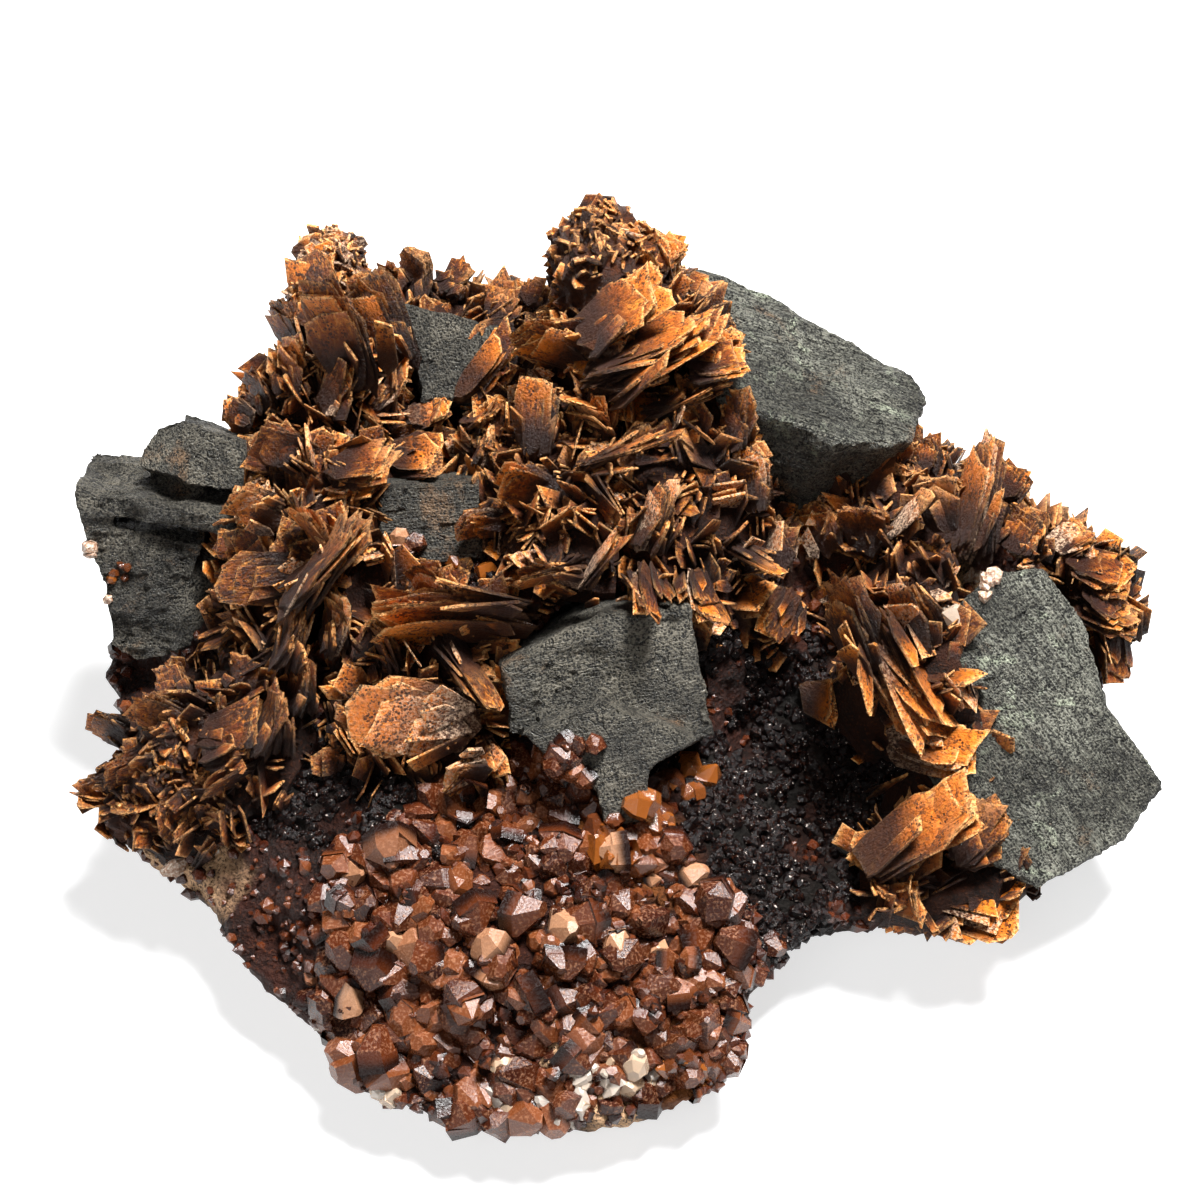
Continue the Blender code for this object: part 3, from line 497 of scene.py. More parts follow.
def plate_outline(pick, length, width, corners, between, ragged):
    """Blunt corners with nearly straight, chipped sides between them."""
    slant = pick.uniform(-0.3, 0.3)
    turns = [math.tau * (i + pick.uniform(-0.32, 0.32)) / corners for i in range(corners)]
    marks = []
    for turn in turns:
        out = 0.5 - 0.5 * power(math.cos(turn), 0.6)
        aside = 0.5 * power(math.sin(turn), 0.6) * (0.66 + 0.34 * out)
        chip = pick.uniform(0.88, 1.06)
        marks.append((0.5 + (out - 0.5) * chip + slant * aside * out, aside * chip))
    outline = []
    for (x0, y0), (x1, y1) in sides(marks):
        for i in range(between):
            t = i / between
            x, y = x0 + (x1 - x0) * t, y0 + (y1 - y0) * t
            notch = 1 - (abs(pick.gauss(0, ragged)) if i else 0)
            outline.append((length * (0.5 + (x - 0.5) * notch), width * y * notch))
    return outline


def plate(pick, length, width, thick, corners, between, ragged, rings):
    """A flat crystal on its own axes: along it, across it and through it.

    Its faces are stepped and a little curled, and its rim is grooved.
    """
    bend = pick.gauss(0, 0.05) * length
    roll = pick.gauss(0, 0.06) * width
    outline = plate_outline(pick, length, width, corners, between, ragged)
    middle = (0.52 * length, 0.0)
    points, rim = [], []
    for share, level, edge in rings:
        for x, y in outline:
            jut = share * (1 + (pick.uniform(-0.035, 0.035) if edge else pick.uniform(-0.3, 0.3)))
            step = level * thick * (1 + (0 if edge else pick.uniform(-0.3, 0.3)))
            points.append((middle[0] + (x - middle[0]) * jut, y * jut, step))
            rim.append(edge)
    points.extend([(*middle, 0.5 * thick), (*middle, -0.5 * thick)])
    rim.extend([0, 0])
    curled = []
    for x, y, z in points:
        lift = bend * (x / length) ** 2 + roll * (2 * y / width) ** 2
        curled.append((x, y, z + lift))
    count = len(outline)
    faces = ring_faces(len(rings), count)
    top, bottom = len(points) - 2, len(points) - 1
    last = (len(rings) - 1) * count
    for i in range(count):
        after = (i + 1) % count
        faces.append((top, i, after))
        faces.append((bottom, last + after, last + i))
    return curled, faces, rim


def add_plate(heap, pick, foot, axes, length, width, thick, tone, small=False):
    """A blade that grows from its foot along the first of its axes."""
    grow, across, normal = axes
    if small:
        shape = (pick.choice((4, 5, 6)), 1, 0.0, SMALL_RINGS)
    elif pick.random() < ROUND_SHARE:
        shape = (pick.choice((10, 11, 12)), 1, 0.0, FULL_RINGS)
    else:
        shape = (pick.choice((5, 6, 7)), 2, 0.05, FULL_RINGS)
    points, faces, rim = plate(pick, length, width, thick, *shape)
    placed = [foot + grow * x + across * y + normal * z for x, y, z in points]
    shift = pick.uniform(0, 400)
    grain = [(x / MM + shift, y / MM - shift, z / MM) for x, y, z in points]
    # 0 at the foot and 1 at the tip, for the painted shade at the root
    lift = [x / length for x, _, _ in points]
    heap.add(placed, faces, tone, rim, grain, lift)


def add_point(heap, pick, place, axis, radius, tall, kind=0):
    """A six-sided quartz crystal with an uneven tip, its root sunk in what it grows on."""
    aim = axis.to_track_quat("Z", "Y").to_matrix()
    turn = pick.uniform(0, math.tau / POINT_SIDES)
    reach = [radius * pick.uniform(0.72, 1.15) for _ in range(POINT_SIDES)]
    tip = Vector((pick.uniform(-0.35, 0.35) * radius, pick.uniform(-0.35, 0.35) * radius, 0))
    shoulder = tall * pick.uniform(0.25, 0.6)
    rings = [
        (-ROOT_SUNK * radius, 1.0, 0.0),
        (shoulder, 0.97, 0.6),
        (shoulder + 0.08 * radius, 0.9, 1.0),
    ]
    points, rim = [], []
    for level, share, edge in rings:
        for i in range(POINT_SIDES):
            a = turn + i * math.tau / POINT_SIDES
            r = reach[i] * share
            lift = level + (pick.uniform(-0.2, 0.2) * radius if share < 1 else 0)
            points.append(Vector((math.cos(a) * r, math.sin(a) * r, lift)))
            rim.append(edge)
    peak = shoulder + radius * pick.uniform(0.5, 0.95)
    blunt = pick.uniform(0.05, 0.45)
    for i in range(POINT_SIDES):
        a = turn + i * math.tau / POINT_SIDES
        r = reach[i] * blunt
        points.append(Vector((math.cos(a) * r, math.sin(a) * r, peak)) + tip)
        rim.append(1.0)
    faces = ring_faces(len(rings) + 1, POINT_SIDES, rising=True)
    faces.append(tuple(range(len(points) - POINT_SIDES, len(points))))
    placed = [place + aim @ p for p in points]
    shift = pick.uniform(0, 400)
    grain = [(p.x / MM + shift, p.y / MM - shift, p.z / MM) for p in points]
    # The rim also serves as lift, for the painted shade at the root.
    heap.add(placed, faces, pick.random(), rim, grain, rim, kind)


def add_grain(heap, pick, place, axis, radius, dark):
    """A small quartz crystal: a low six-sided pyramid."""
    aim = axis.to_track_quat("Z", "Y").to_matrix()
    turn = pick.uniform(0, math.tau / POINT_SIDES)
    points = []
    for level, share in ((-0.7, 1.0), (pick.uniform(0.1, 0.5), 0.95)):
        for i in range(POINT_SIDES):
            r = radius * share * pick.uniform(0.8, 1.15)
            a = turn + i * math.tau / POINT_SIDES
            points.append(Vector((math.cos(a) * r, math.sin(a) * r, level * radius)))
    points.append(Vector((pick.uniform(-0.3, 0.3), pick.uniform(-0.3, 0.3), 1.2)) * radius)
    faces = []
    for i in range(POINT_SIDES):
        after = (i + 1) % POINT_SIDES
        faces.append((i, after, 6 + after, 6 + i))
        faces.append((6 + i, 6 + after, 12))
    placed = [place + aim @ p for p in points]
    rim = [0.0] * 12 + [1.0]
    grain = [tuple(p / MM) for p in placed]
    tone = pick.random() * 0.8 * (1 - dark)
    # Low at the grain's foot, for the painted shade at the root.
    lift = [0.0] * 6 + [0.7] * 6 + [1.0]
    heap.add(placed, faces, tone, rim, grain, lift, 1 if dark > 0.35 else 0)


def slab(outline, through, lean, deep):
    """A block behind a face: its pixels, a pixel and height on it, its lean and depth in mm."""
    normal = in_view(*lean)
    place = seen(through[:2], through[2] * MM)
    front = []
    for pixel in outline:
        ray = seen(pixel, 0) - CAMERA
        front.append(CAMERA + ray * ((place - CAMERA).dot(normal) / ray.dot(normal)))
    back = [p - normal * deep * MM for p in front]
    count = len(outline)
    faces = [tuple(range(count)), tuple(reversed(range(count, 2 * count)))]
    for i in range(count):
        after = (i + 1) % count
        faces.append((i, i + count, after + count, after))
    return front + back, faces


def remeshed(node, voxel, smooth=0, slabs=(), alone=False):
    """A solid as an even, fine mesh, with slabs joined to it or standing in its place."""
    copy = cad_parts[node].copy()
    copy.data = copy.data.copy()
    if slabs:
        made = bmesh.new()
        if not alone:
            made.from_mesh(copy.data)
        for points, faces in slabs:
            corners = [made.verts.new(p) for p in points]
            for face in faces:
                made.faces.new([corners[i] for i in face])
        made.to_mesh(copy.data)
        made.free()
    bpy.context.scene.collection.objects.link(copy)
    weld = copy.modifiers.new("weld", "WELD")
    weld.merge_threshold = 0.01 * MM
    remesh = copy.modifiers.new("remesh", "REMESH")
    remesh.mode = "VOXEL"
    remesh.voxel_size = voxel
    if smooth:
        soften = copy.modifiers.new("smooth", "SMOOTH")
        soften.iterations = smooth
    graph = bpy.context.evaluated_depsgraph_get()
    mesh = bpy.data.meshes.new_from_object(copy.evaluated_get(graph))
    bpy.data.objects.remove(copy)
    return mesh


def places_and_normals(mesh):
    places = np.empty(len(mesh.vertices) * 3, np.float32)
    normals = np.empty(len(mesh.vertices) * 3, np.float32)
    mesh.vertices.foreach_get("co", places)
    mesh.vertices.foreach_get("normal", normals)
    return places.reshape(-1, 3), normals.reshape(-1, 3)


def surface_of(mesh):
    faces = [tuple(face.vertices) for face in mesh.polygons]
    return BVHTree.FromPolygons([v.co.copy() for v in mesh.vertices], faces)


def solid_piece(name, mesh, material, sharp):
    """A mesh as one object, whose faces meet in an edge above the sharp angle."""
    mesh.materials.clear()
    mesh.materials.append(material)
    mesh.shade_smooth()
    mesh.set_sharp_from_angle(angle=math.radians(sharp))
    return linked(name, mesh)


# Materials

# Colours, as linear red, green and blue
BLADE_DARK = (0.011, 0.002, 0.001)
BLADE_RED = (0.100, 0.015, 0.002)
BLADE_ORANGE = (0.80, 0.200, 0.012)
BLADE_RUST = (0.70, 0.155, 0.006)
BLADE_TAN = (0.90, 0.44, 0.18)
BLADE_BRIGHT = (0.95, 0.330, 0.038)
# painted shade at the roots of blades and quartz points
ROOT_SHADE = (0.008, 0.002, 0.001)
BLADE_EDGE = (1.0, 0.60, 0.24)
BLADE_CHALK = (0.80, 0.56, 0.38)
BLADE_SPECK = (0.022, 0.005, 0.002)
CRUST_DARK_AND_SHADE = (0.006, 0.002, 0.001)
CRUST_BROWN = (0.028, 0.007, 0.002)
CRUST_RUST = (0.085, 0.024, 0.006)
GALENA_DARK = (0.075, 0.068, 0.054)
GALENA_GREY = (0.210, 0.188, 0.145)
STRIATED_DARK = (0.080, 0.080, 0.068)
STRIATED_GREY = (0.225, 0.222, 0.180)
STRIATED_LINE = (0.38, 0.38, 0.31)
STRIATED_FILM = (0.62, 0.68, 0.50)
STRIATED_GRAIN = (0.40, 0.37, 0.29)
GALENA_OUT_OF_SHEEN = (0.022, 0.019, 0.015)
GALENA_GROOVE_SHADE = (0.012, 0.010, 0.008)
GALENA_GRAIN = (0.26, 0.25, 0.21)
GALENA_STAIN = (0.24, 0.13, 0.06)
GALENA_PIT_SHADE = (0.008, 0.008, 0.007)
GALENA_RIFT_SHADE = (0.006, 0.006, 0.005)
GALENA_PAINTED_GLINT = (0.80, 0.80, 0.74)
ROCK_DARK = (0.007, 0.002, 0.001)
ROCK_BROWN = (0.032, 0.007, 0.003)
ROCK_RUST = (0.10, 0.026, 0.008)
ROCK_AMBER = (0.26, 0.080, 0.012)
ROCK_PALE = (0.66, 0.40, 0.22)
ROCK_BLACK = (0.003, 0.002, 0.001)
BROKEN_BROWN = (0.075, 0.026, 0.011)
BROKEN_TAN = (0.30, 0.185, 0.115)
BROKEN_STAIN = (0.16, 0.050, 0.014)
POINT_DARK = (0.014, 0.002, 0.001)
POINT_RED = (0.050, 0.010, 0.003)
POINT_BROWN = (0.120, 0.034, 0.011)
POINT_PALE = (0.30, 0.155, 0.085)
POINT_DUST = (0.120, 0.030, 0.006)
POINT_EDGE = (0.42, 0.20, 0.10)
IRON_BLACK = (0.002, 0.001, 0.001)
IRON_RUST = (0.030, 0.007, 0.002)
IRON_PAINTED_GLINT = (0.42, 0.36, 0.32)
CLEAR_PALE = (0.86, 0.76, 0.66)
CLEAR_TAN = (0.78, 0.55, 0.36)
AMBER_LIGHT = (0.30, 0.085, 0.012)
AMBER_DEEP = (0.13, 0.034, 0.010)
ORANGE_LIGHT = (0.75, 0.36, 0.13)
ORANGE_DEEP = (0.60, 0.20, 0.03)
CHIP_TAN = (0.26, 0.13, 0.07)
CHIP_WHITE = (0.60, 0.52, 0.43)


class Graph:
    """A few short words for building a material's or group's nodes."""

    def __init__(self, tree):
        self.tree = tree

    def node(self, kind, inputs=None, **settings):
        made = self.tree.nodes.new("ShaderNode" + kind)
        for key, value in settings.items():
            setattr(made, key, value)
        for key, value in (inputs or {}).items():
            self.put(made.inputs[key], value)
        return made

    def put(self, socket, value):
        if isinstance(value, bpy.types.NodeSocket):
            self.tree.links.new(value, socket)
        elif isinstance(value, tuple) and len(value) == 3 and socket.type == "RGBA":
            socket.default_value = (*value, 1)
        else:
            socket.default_value = value

    def math(self, operation, a, b=0.0):
        return self.node("Math", {0: a, 1: b}, operation=operation).outputs[0]

    def times(self, a, b):
        return self.math("MULTIPLY", a, b)

    def plus(self, a, b):
        return self.math("ADD", a, b)

    def minus(self, a, b):
        return self.math("SUBTRACT", a, b)

    def ramp(self, value, low, high):
        """0 up to low, 1 from high on, smooth between."""
        made = self.node("MapRange", {"Value": value, "From Min": low, "From Max": high},
                         interpolation_type="SMOOTHSTEP")
        return made.outputs["Result"]

    def mix(self, share, a, b):
        """A colour that goes from a to b with the share."""
        made = self.node("Mix", data_type="RGBA")
        for index, value in ((0, share), (6, a), (7, b)):
            self.put(made.inputs[index], value)
        return made.outputs[2]

    def attribute(self, name, output="Fac"):
        return self.node("Attribute", attribute_name=name).outputs[output]

    def stretched(self, vector, x, y, z):
        made = self.node("VectorMath", {0: vector, 1: (x, y, z)}, operation="MULTIPLY")
        return made.outputs[0]

    def millimetres(self):
        return self.stretched(self.node("TexCoord").outputs["Object"], 1000, 1000, 1000)

    def noise(self, vector, scale, detail=3.0, rough=0.6, twist=0.0):
        made = self.node("TexNoise", {"Vector": vector, "Scale": scale, "Detail": detail,
                                      "Roughness": rough, "Distortion": twist})
        return made.outputs["Fac"]

    def cells(self, vector, scale):
        return self.node("TexVoronoi", {"Vector": vector, "Scale": scale}).outputs["Distance"]

    def bump(self, height, strength, distance):
        made = self.node("Bump", {"Height": height, "Strength": strength, "Distance": distance})
        return made.outputs["Normal"]


def group(name, inputs, outputs, build):
    """A shared effect, in the object's millimetres. A material may set its inputs."""
    tree = bpy.data.node_groups.new(name, "ShaderNodeTree")
    for label, value in inputs.items():
        made = tree.interface.new_socket(label, in_out="INPUT", socket_type="NodeSocketFloat")
        made.default_value = value
    for label in outputs:
        tree.interface.new_socket(label, in_out="OUTPUT", socket_type="NodeSocketFloat")
    given = tree.nodes.new("NodeGroupInput").outputs
    out = tree.nodes.new("NodeGroupOutput")
    for label, value in build(Graph(tree), given).items():
        tree.links.new(value, out.inputs[label])
    return tree


def speckles(g, given):
    """Dark iron specks, in crowds."""
    mm = g.millimetres()
    size = g.ramp(g.noise(mm, given["Crowd Scale"], 3), 0.36, 0.62)
    near = g.minus(g.times(size, 0.40), g.cells(mm, given["Speck Scale"]))
    fine = g.ramp(g.noise(mm, 5.5, 2), 0.62, 0.72)
    mask = g.math("MAXIMUM", g.ramp(near, -0.06, 0.06), g.times(fine, size))
    mottled = g.ramp(g.noise(mm, 1.5, 5, 0.72), 0.50, 0.58)
    flecks = g.times(mottled, g.plus(0.45, g.times(size, 0.5)))
    return {"Mask": g.math("MAXIMUM", mask, flecks)}


def weathering(g, given):
    """Broad patches, and the fine roughness of a rusty surface."""
    mm = g.millimetres()
    broad = g.ramp(g.noise(mm, given["Patch Scale"], 4, 0.6), 0.35, 0.65)
    return {"Broad": broad, "Fine": g.noise(mm, given["Grain Scale"], 5, 0.65)}


def pits(g, given):
    """The granular, pitted face of weathered galena, and the spots of its painted glints."""
    mm = g.millimetres()
    rough = g.plus(g.noise(mm, 0.9, 5, 0.7), g.noise(mm, 5.0, 3, 0.7))
    height = g.plus(g.times(g.cells(mm, given["Pit Scale"]), 0.8), rough)
    return {"Height": height, "Painted Glint": g.ramp(g.noise(mm, 7.0, 1), 0.70, 0.78)}


EFFECTS = {
    "speckles": group(
        "iron_speckles", {"Speck Scale": 1.9, "Crowd Scale": 0.45}, ["Mask"], speckles
    ),
    "weathering": group(
        "weathering", {"Patch Scale": 0.16, "Grain Scale": 2.6}, ["Broad", "Fine"], weathering
    ),
    "pits": group("galena_pits", {"Pit Scale": 2.7}, ["Height", "Painted Glint"], pits),
}


def material(name, build):
    """A material whose Principled shader takes what a look puts out."""
    made = bpy.data.materials.new(name)
    made.use_nodes = True
    g = Graph(made.node_tree)
    shader = made.node_tree.nodes["Principled BSDF"]
    for key, value in build(g).items():
        g.put(shader.inputs[key], value)
    return made


def effect(g, name):
    made = g.tree.nodes.new("ShaderNodeGroup")
    made.node_tree = EFFECTS[name]
    return made.outputs


def barite_look(g):
    """Rusty blades with painted shade at the root and painted light towards the free end,
    streaked along, paler at the edges.
    """
    tone, rim, lift = g.attribute("tone"), g.attribute("rim"), g.attribute("lift")
    streaky = g.stretched(g.attribute("grain", "Vector"), 0.5, 1.6, 7.0)
    streaks = g.noise(streaky, 1.1, 4, 0.65)
    rust = effect(g, "weathering")
    # free rises from root to tip: painted shade at the root, and the tan, bright streaks and pale
    # edges grow towards the tip as painted light.
    free = g.ramp(lift, 0.38, 1.0)
    body = g.mix(g.ramp(tone, 0.0, 0.55), BLADE_DARK, BLADE_RED)
    body = g.mix(g.ramp(tone, 0.5, 0.9), body, BLADE_ORANGE)
    body = g.mix(g.times(rust["Broad"], 0.35), body, BLADE_RUST)
    tan = g.ramp(g.noise(g.millimetres(), 0.085, 3, 0.6), 0.54, 0.66)
    body = g.mix(g.times(tan, g.times(free, 0.5)), body, BLADE_TAN)
    grown = g.times(g.ramp(streaks, 0.46, 0.70), g.plus(0.2, g.times(free, 0.5)))
    body = g.mix(grown, body, BLADE_BRIGHT)
    # Painted shade: blades go near-black towards their roots, among the other blades.
    body = g.mix(g.times(g.minus(1.0, free), 0.94), body, ROOT_SHADE)
    pale = g.times(g.ramp(rim, 0.22, 0.92), g.ramp(rust["Fine"], 0.36, 0.58))
    pale = g.times(pale, g.plus(0.06, g.times(free, 0.86)))
    pale = g.times(pale, g.plus(0.30, g.times(g.ramp(tone, 0.2, 0.9), 0.70)))
    body = g.mix(pale, body, BLADE_EDGE)
    chalky = g.times(g.ramp(tone, 0.90, 0.97), g.ramp(rust["Fine"], 0.40, 0.6))
    body = g.mix(g.times(chalky, 0.7), body, BLADE_CHALK)
    body = g.mix(g.times(effect(g, "speckles")["Mask"], 0.90), body, BLADE_SPECK)
    height = g.plus(g.times(streaks, 0.8), rust["Fine"])
    return {
        "Base Color": body,
        "Roughness": g.plus(0.30, g.times(rust["Fine"], 0.4)),
        "Specular IOR Level": 0.30,
        "Normal": g.bump(height, 1.0, 0.0008),
    }


def crust_look(g):
    """The near-black mass between the blades' roots: a dark brown crust, darkened further as
    painted shade of the gaps.
    """
    rust = effect(g, "weathering")
    # Near-black: partly the crust's own dark brown, partly painted shade between the blades.
    body = g.mix(rust["Broad"], CRUST_DARK_AND_SHADE, CRUST_BROWN)
    body = g.mix(g.ramp(rust["Fine"], 0.5, 0.75), body, CRUST_RUST)
    return {
        "Base Color": body,
        "Roughness": 0.6,
        "Specular IOR Level": 0.2,
        "Normal": g.bump(rust["Fine"], 1.0, 0.0012),
    }


def galena_look(pale):
    """Pitted lead grey, scored along its cleavage, or its paler striated kind, with painted shade
    in its pits, grooves and cracks, painted sheen in broad patches and painted glints.
    """
    def build(g):
        pitted = effect(g, "pits")
        rust = effect(g, "weathering")
        mm = g.millimetres()
        lines = g.noise(g.stretched(g.attribute("grain", "Vector"), 2.4, 2.4, 0.22), 1.0, 4, 0.62)
        patch = g.ramp(g.noise(mm, 0.13, 4, 0.6), 0.38, 0.66)
        grey = g.mix(patch, GALENA_DARK, GALENA_GREY)
        if pale:
            grey = g.mix(patch, STRIATED_DARK, STRIATED_GREY)
            grey = g.mix(g.times(g.ramp(lines, 0.42, 0.62), 0.55), grey, STRIATED_LINE)
            lichen = g.ramp(g.noise(mm, 0.16, 5, 0.68, 0.6), 0.57, 0.66)
            grey = g.mix(g.times(lichen, 0.6), grey, STRIATED_FILM)
        # Painted sheen: broad patches stay bright and the rest goes darker.
        painted_sheen = g.ramp(g.noise(mm, 0.055, 4, 0.6, 0.4), 0.40, 0.56)
        grey = g.mix(g.minus(0.62, g.times(painted_sheen, 0.62)), grey, GALENA_OUT_OF_SHEEN)
        # Painted shade in the grooves along the cleavage, where the bump sinks with the lines.
        groove_shade = g.times(g.ramp(lines, 0.36, 0.47), 0.5)
        grey = g.mix(g.minus(0.5, groove_shade), grey, GALENA_GROOVE_SHADE)
        grains = g.times(g.ramp(rust["Fine"], 0.50, 0.72), 0.45)
        grey = g.mix(grains, grey, STRIATED_GRAIN if pale else GALENA_GRAIN)
        stain = g.ramp(g.noise(mm, 0.10, 5, 0.7, 0.4), 0.56, 0.68)
        grey = g.mix(g.times(stain, 0.55), grey, GALENA_STAIN)
        # Painted shade: the pits go near-black.
        grey = g.mix(g.ramp(pitted["Height"], 1.10, 1.60), GALENA_PIT_SHADE, grey)
        # Cracks, sunk in the bump and painted near-black with shade.
        rift = g.math("ABSOLUTE", g.minus(g.noise(mm, 0.20, 3, 0.5, 0.5), 0.5))
        rift = g.minus(1.0, g.ramp(rift, 0.002, 0.010))
        grey = g.mix(g.times(rift, 0.85), grey, GALENA_RIFT_SHADE)
        # Painted highlights: small bright glints, also a little glossier.
        grey = g.mix(g.times(pitted["Painted Glint"], 0.75), grey, GALENA_PAINTED_GLINT)
        height = g.plus(pitted["Height"], g.times(lines, 2.4 if pale else 1.8))
        height = g.minus(height, rift)
        return {
            "Base Color": grey,
            "Metallic": 0.2,
            "Roughness": g.minus(0.60, g.times(pitted["Painted Glint"], 0.3)),
            "Specular IOR Level": 0.35,
            "Normal": g.bump(height, 1.0, 0.0011),
        }
    return build


def rock_look(g):
    """Stained quartz, with the places that are black, pale, amber or broken."""
    rust = effect(g, "weathering")
    mm = g.millimetres()
    dark, pale = g.attribute("dark"), g.attribute("pale")
    amber, broken = g.attribute("amber"), g.attribute("broken")
    body = g.mix(rust["Broad"], ROCK_DARK, ROCK_BROWN)
    body = g.mix(g.ramp(rust["Fine"], 0.52, 0.75), body, ROCK_RUST)
    mottle = g.ramp(g.noise(mm, 0.30, 5, 0.7), 0.40, 0.62)
    quartz = g.mix(mottle, BROKEN_BROWN, BROKEN_TAN)
    quartz = g.mix(g.ramp(rust["Fine"], 0.52, 0.70), quartz, BROKEN_STAIN)
    body = g.mix(g.times(broken, 0.9), body, quartz)
    body = g.mix(g.times(amber, 0.7), body, ROCK_AMBER)
    body = g.mix(g.times(pale, g.ramp(rust["Fine"], 0.34, 0.55)), body, ROCK_PALE)
    body = g.mix(g.times(dark, 0.97), body, ROCK_BLACK)
    grit = g.cells(mm, 1.1)
    height = g.plus(rust["Fine"], g.times(grit, 0.8))
    return {
        "Base Color": body,
        "Roughness": g.plus(0.40, g.times(rust["Fine"], 0.4)),
        "Specular IOR Level": 0.20,
        "Normal": g.bump(height, 1.0, 0.0012),
    }


def druse_look(g):
    """Glossy quartz points under a red-brown stain, with painted shade at their roots."""
    tone, rim, lift = g.attribute("tone"), g.attribute("rim"), g.attribute("lift")
    rust = effect(g, "weathering")
    body = g.mix(g.ramp(tone, 0.0, 0.6), POINT_DARK, POINT_RED)
    body = g.mix(g.ramp(tone, 0.60, 0.86), body, POINT_BROWN)
    body = g.mix(g.ramp(tone, 0.93, 0.98), body, POINT_PALE)
    body = g.mix(g.times(rust["Broad"], 0.3), body, POINT_DUST)
    edges = g.times(g.ramp(rim, 0.7, 1.0), g.ramp(rust["Fine"], 0.5, 0.7))
    body = g.mix(g.times(edges, 0.45), body, POINT_EDGE)
    # Painted shade: each point goes near-black towards its root.
    body = g.mix(g.minus(1.0, g.ramp(lift, 0.15, 0.65)), body, ROOT_SHADE)
    return {
        "Base Color": body,
        "Roughness": g.plus(0.20, g.times(g.ramp(rust["Fine"], 0.4, 0.8), 0.40)),
        "Specular IOR Level": 0.40,
        "Normal": g.bump(rust["Fine"], 0.3, 0.0004),
    }


def black_look(g):
    """The black grains in the hollows, their sparkle painted as glints."""
    rust = effect(g, "weathering")
    body = g.mix(g.ramp(rust["Fine"], 0.50, 0.75), IRON_BLACK, IRON_RUST)
    # Painted highlights: small bright glints on the black grains.
    painted_glints = g.ramp(g.noise(g.millimetres(), 2.2, 2, 0.5), 0.68, 0.73)
    body = g.mix(painted_glints, body, IRON_PAINTED_GLINT)
    return {
        "Base Color": body,
        "Roughness": g.plus(0.10, g.times(rust["Broad"], 0.3)),
        "Specular IOR Level": 0.16,
        "Normal": g.bump(rust["Fine"], 0.6, 0.0005),
    }


def clear_look(g):
    """Clean quartz points at the front rim."""
    rust = effect(g, "weathering")
    body = g.mix(g.ramp(g.attribute("tone"), 0.2, 0.8), CLEAR_PALE, CLEAR_TAN)
    return {
        "Base Color": body,
        "Roughness": g.plus(0.04, g.times(rust["Fine"], 0.2)),
        "Normal": g.bump(rust["Fine"], 0.3, 0.0004),
        "Transmission Weight": 0.6,
        "IOR": 1.54,
    }


def amber_look(g, light=AMBER_LIGHT, deep=AMBER_DEEP):
    """Rusty quartz that light goes into."""
    rust = effect(g, "weathering")
    body = g.mix(g.ramp(g.attribute("tone"), 0.1, 0.9), light, deep)
    return {
        "Base Color": body,
        "Roughness": g.plus(0.06, g.times(rust["Fine"], 0.25)),
        "Normal": g.bump(rust["Fine"], 0.3, 0.0004),
        "Transmission Weight": 0.45,
        "IOR": 1.54,
    }


def chip_look(g):
    """Whitish crumbs of quartz."""
    rust = effect(g, "weathering")
    body = g.mix(g.ramp(rust["Fine"], 0.40, 0.7), CHIP_TAN, CHIP_WHITE)
    return {"Base Color": body, "Roughness": 0.35, "Normal": g.bump(rust["Fine"], 0.6, 0.0006)}


LOOKS = {
    "barite": material("barite_blades", barite_look),
    "crust": material("barite_crust", crust_look),
    "galena": material("galena_dark", galena_look(False)),
    "galena_pale": material("galena_striated", galena_look(True)),
    "rock": material("quartz_rock", rock_look),
    "druse": material("quartz_points", druse_look),
    "clear": material("quartz_clear", clear_look),
    "amber": material("quartz_amber", amber_look),
    "orange": material(
        "quartz_orange", lambda g: amber_look(g, ORANGE_LIGHT, ORANGE_DEEP)
    ),
    "black": material("iron_crust", black_look),
    "chip": material("quartz_chips", chip_look),
}


# The galena

STRIATED = ("galena_back_right", "galena_right")
FINE_GALENA = ("galena_left", "galena_middle", "galena_upper")
# Blocks as slab() takes them, joined to a crystal or, for the left one, in its place
SLABS = {
    "galena_centre": [([(520, 735), (560, 770), (597, 792), (604, 824), (646, 826), (650, 770),
                        (700, 740), (600, 700)], (618, 790, 32), (0.05, -0.18, 0.98), 6)],
    "galena_left": [
        ([(177, 418), (246, 442), (246, 492), (168, 484)],
         (185, 455, 47), (0.05, -0.12, 0.99), 13),
        ([(154, 427), (182, 414), (180, 480), (134, 466)],
         (160, 460, 46), (-0.45, 0.25, 0.85), 10),
        ([(70, 492), (149, 500), (236, 520), (236, 542), (198, 534), (149, 524), (80, 519)],
         (150, 512, 42.3), (-0.05, -0.42, 0.90), 15),
        ([(80, 519), (89, 560), (103, 590), (108, 643), (134, 664), (174, 657), (188, 600),
          (205, 545), (150, 532)], (150, 600, 30.5), (0.02, -0.38, 0.92), 22),
        ([(188, 545), (186, 600), (176, 655), (240, 640), (240, 545)], (200, 600, 30),
         (0.55, -0.2, 0.8), 14),
    ],
}
LEDGES = [(6.5, 0.60), (3.0, 0.35), (1.3, 0.22)]  # each a width and a depth in mm
BROKEN_SHARE = 0.45  # how much of the faces the ledges are chipped from
GRAIN_DEPTH = 0.12  # of a weathered face, in mm
LINE_DEPTH = 0.30  # of a striated face, in mm


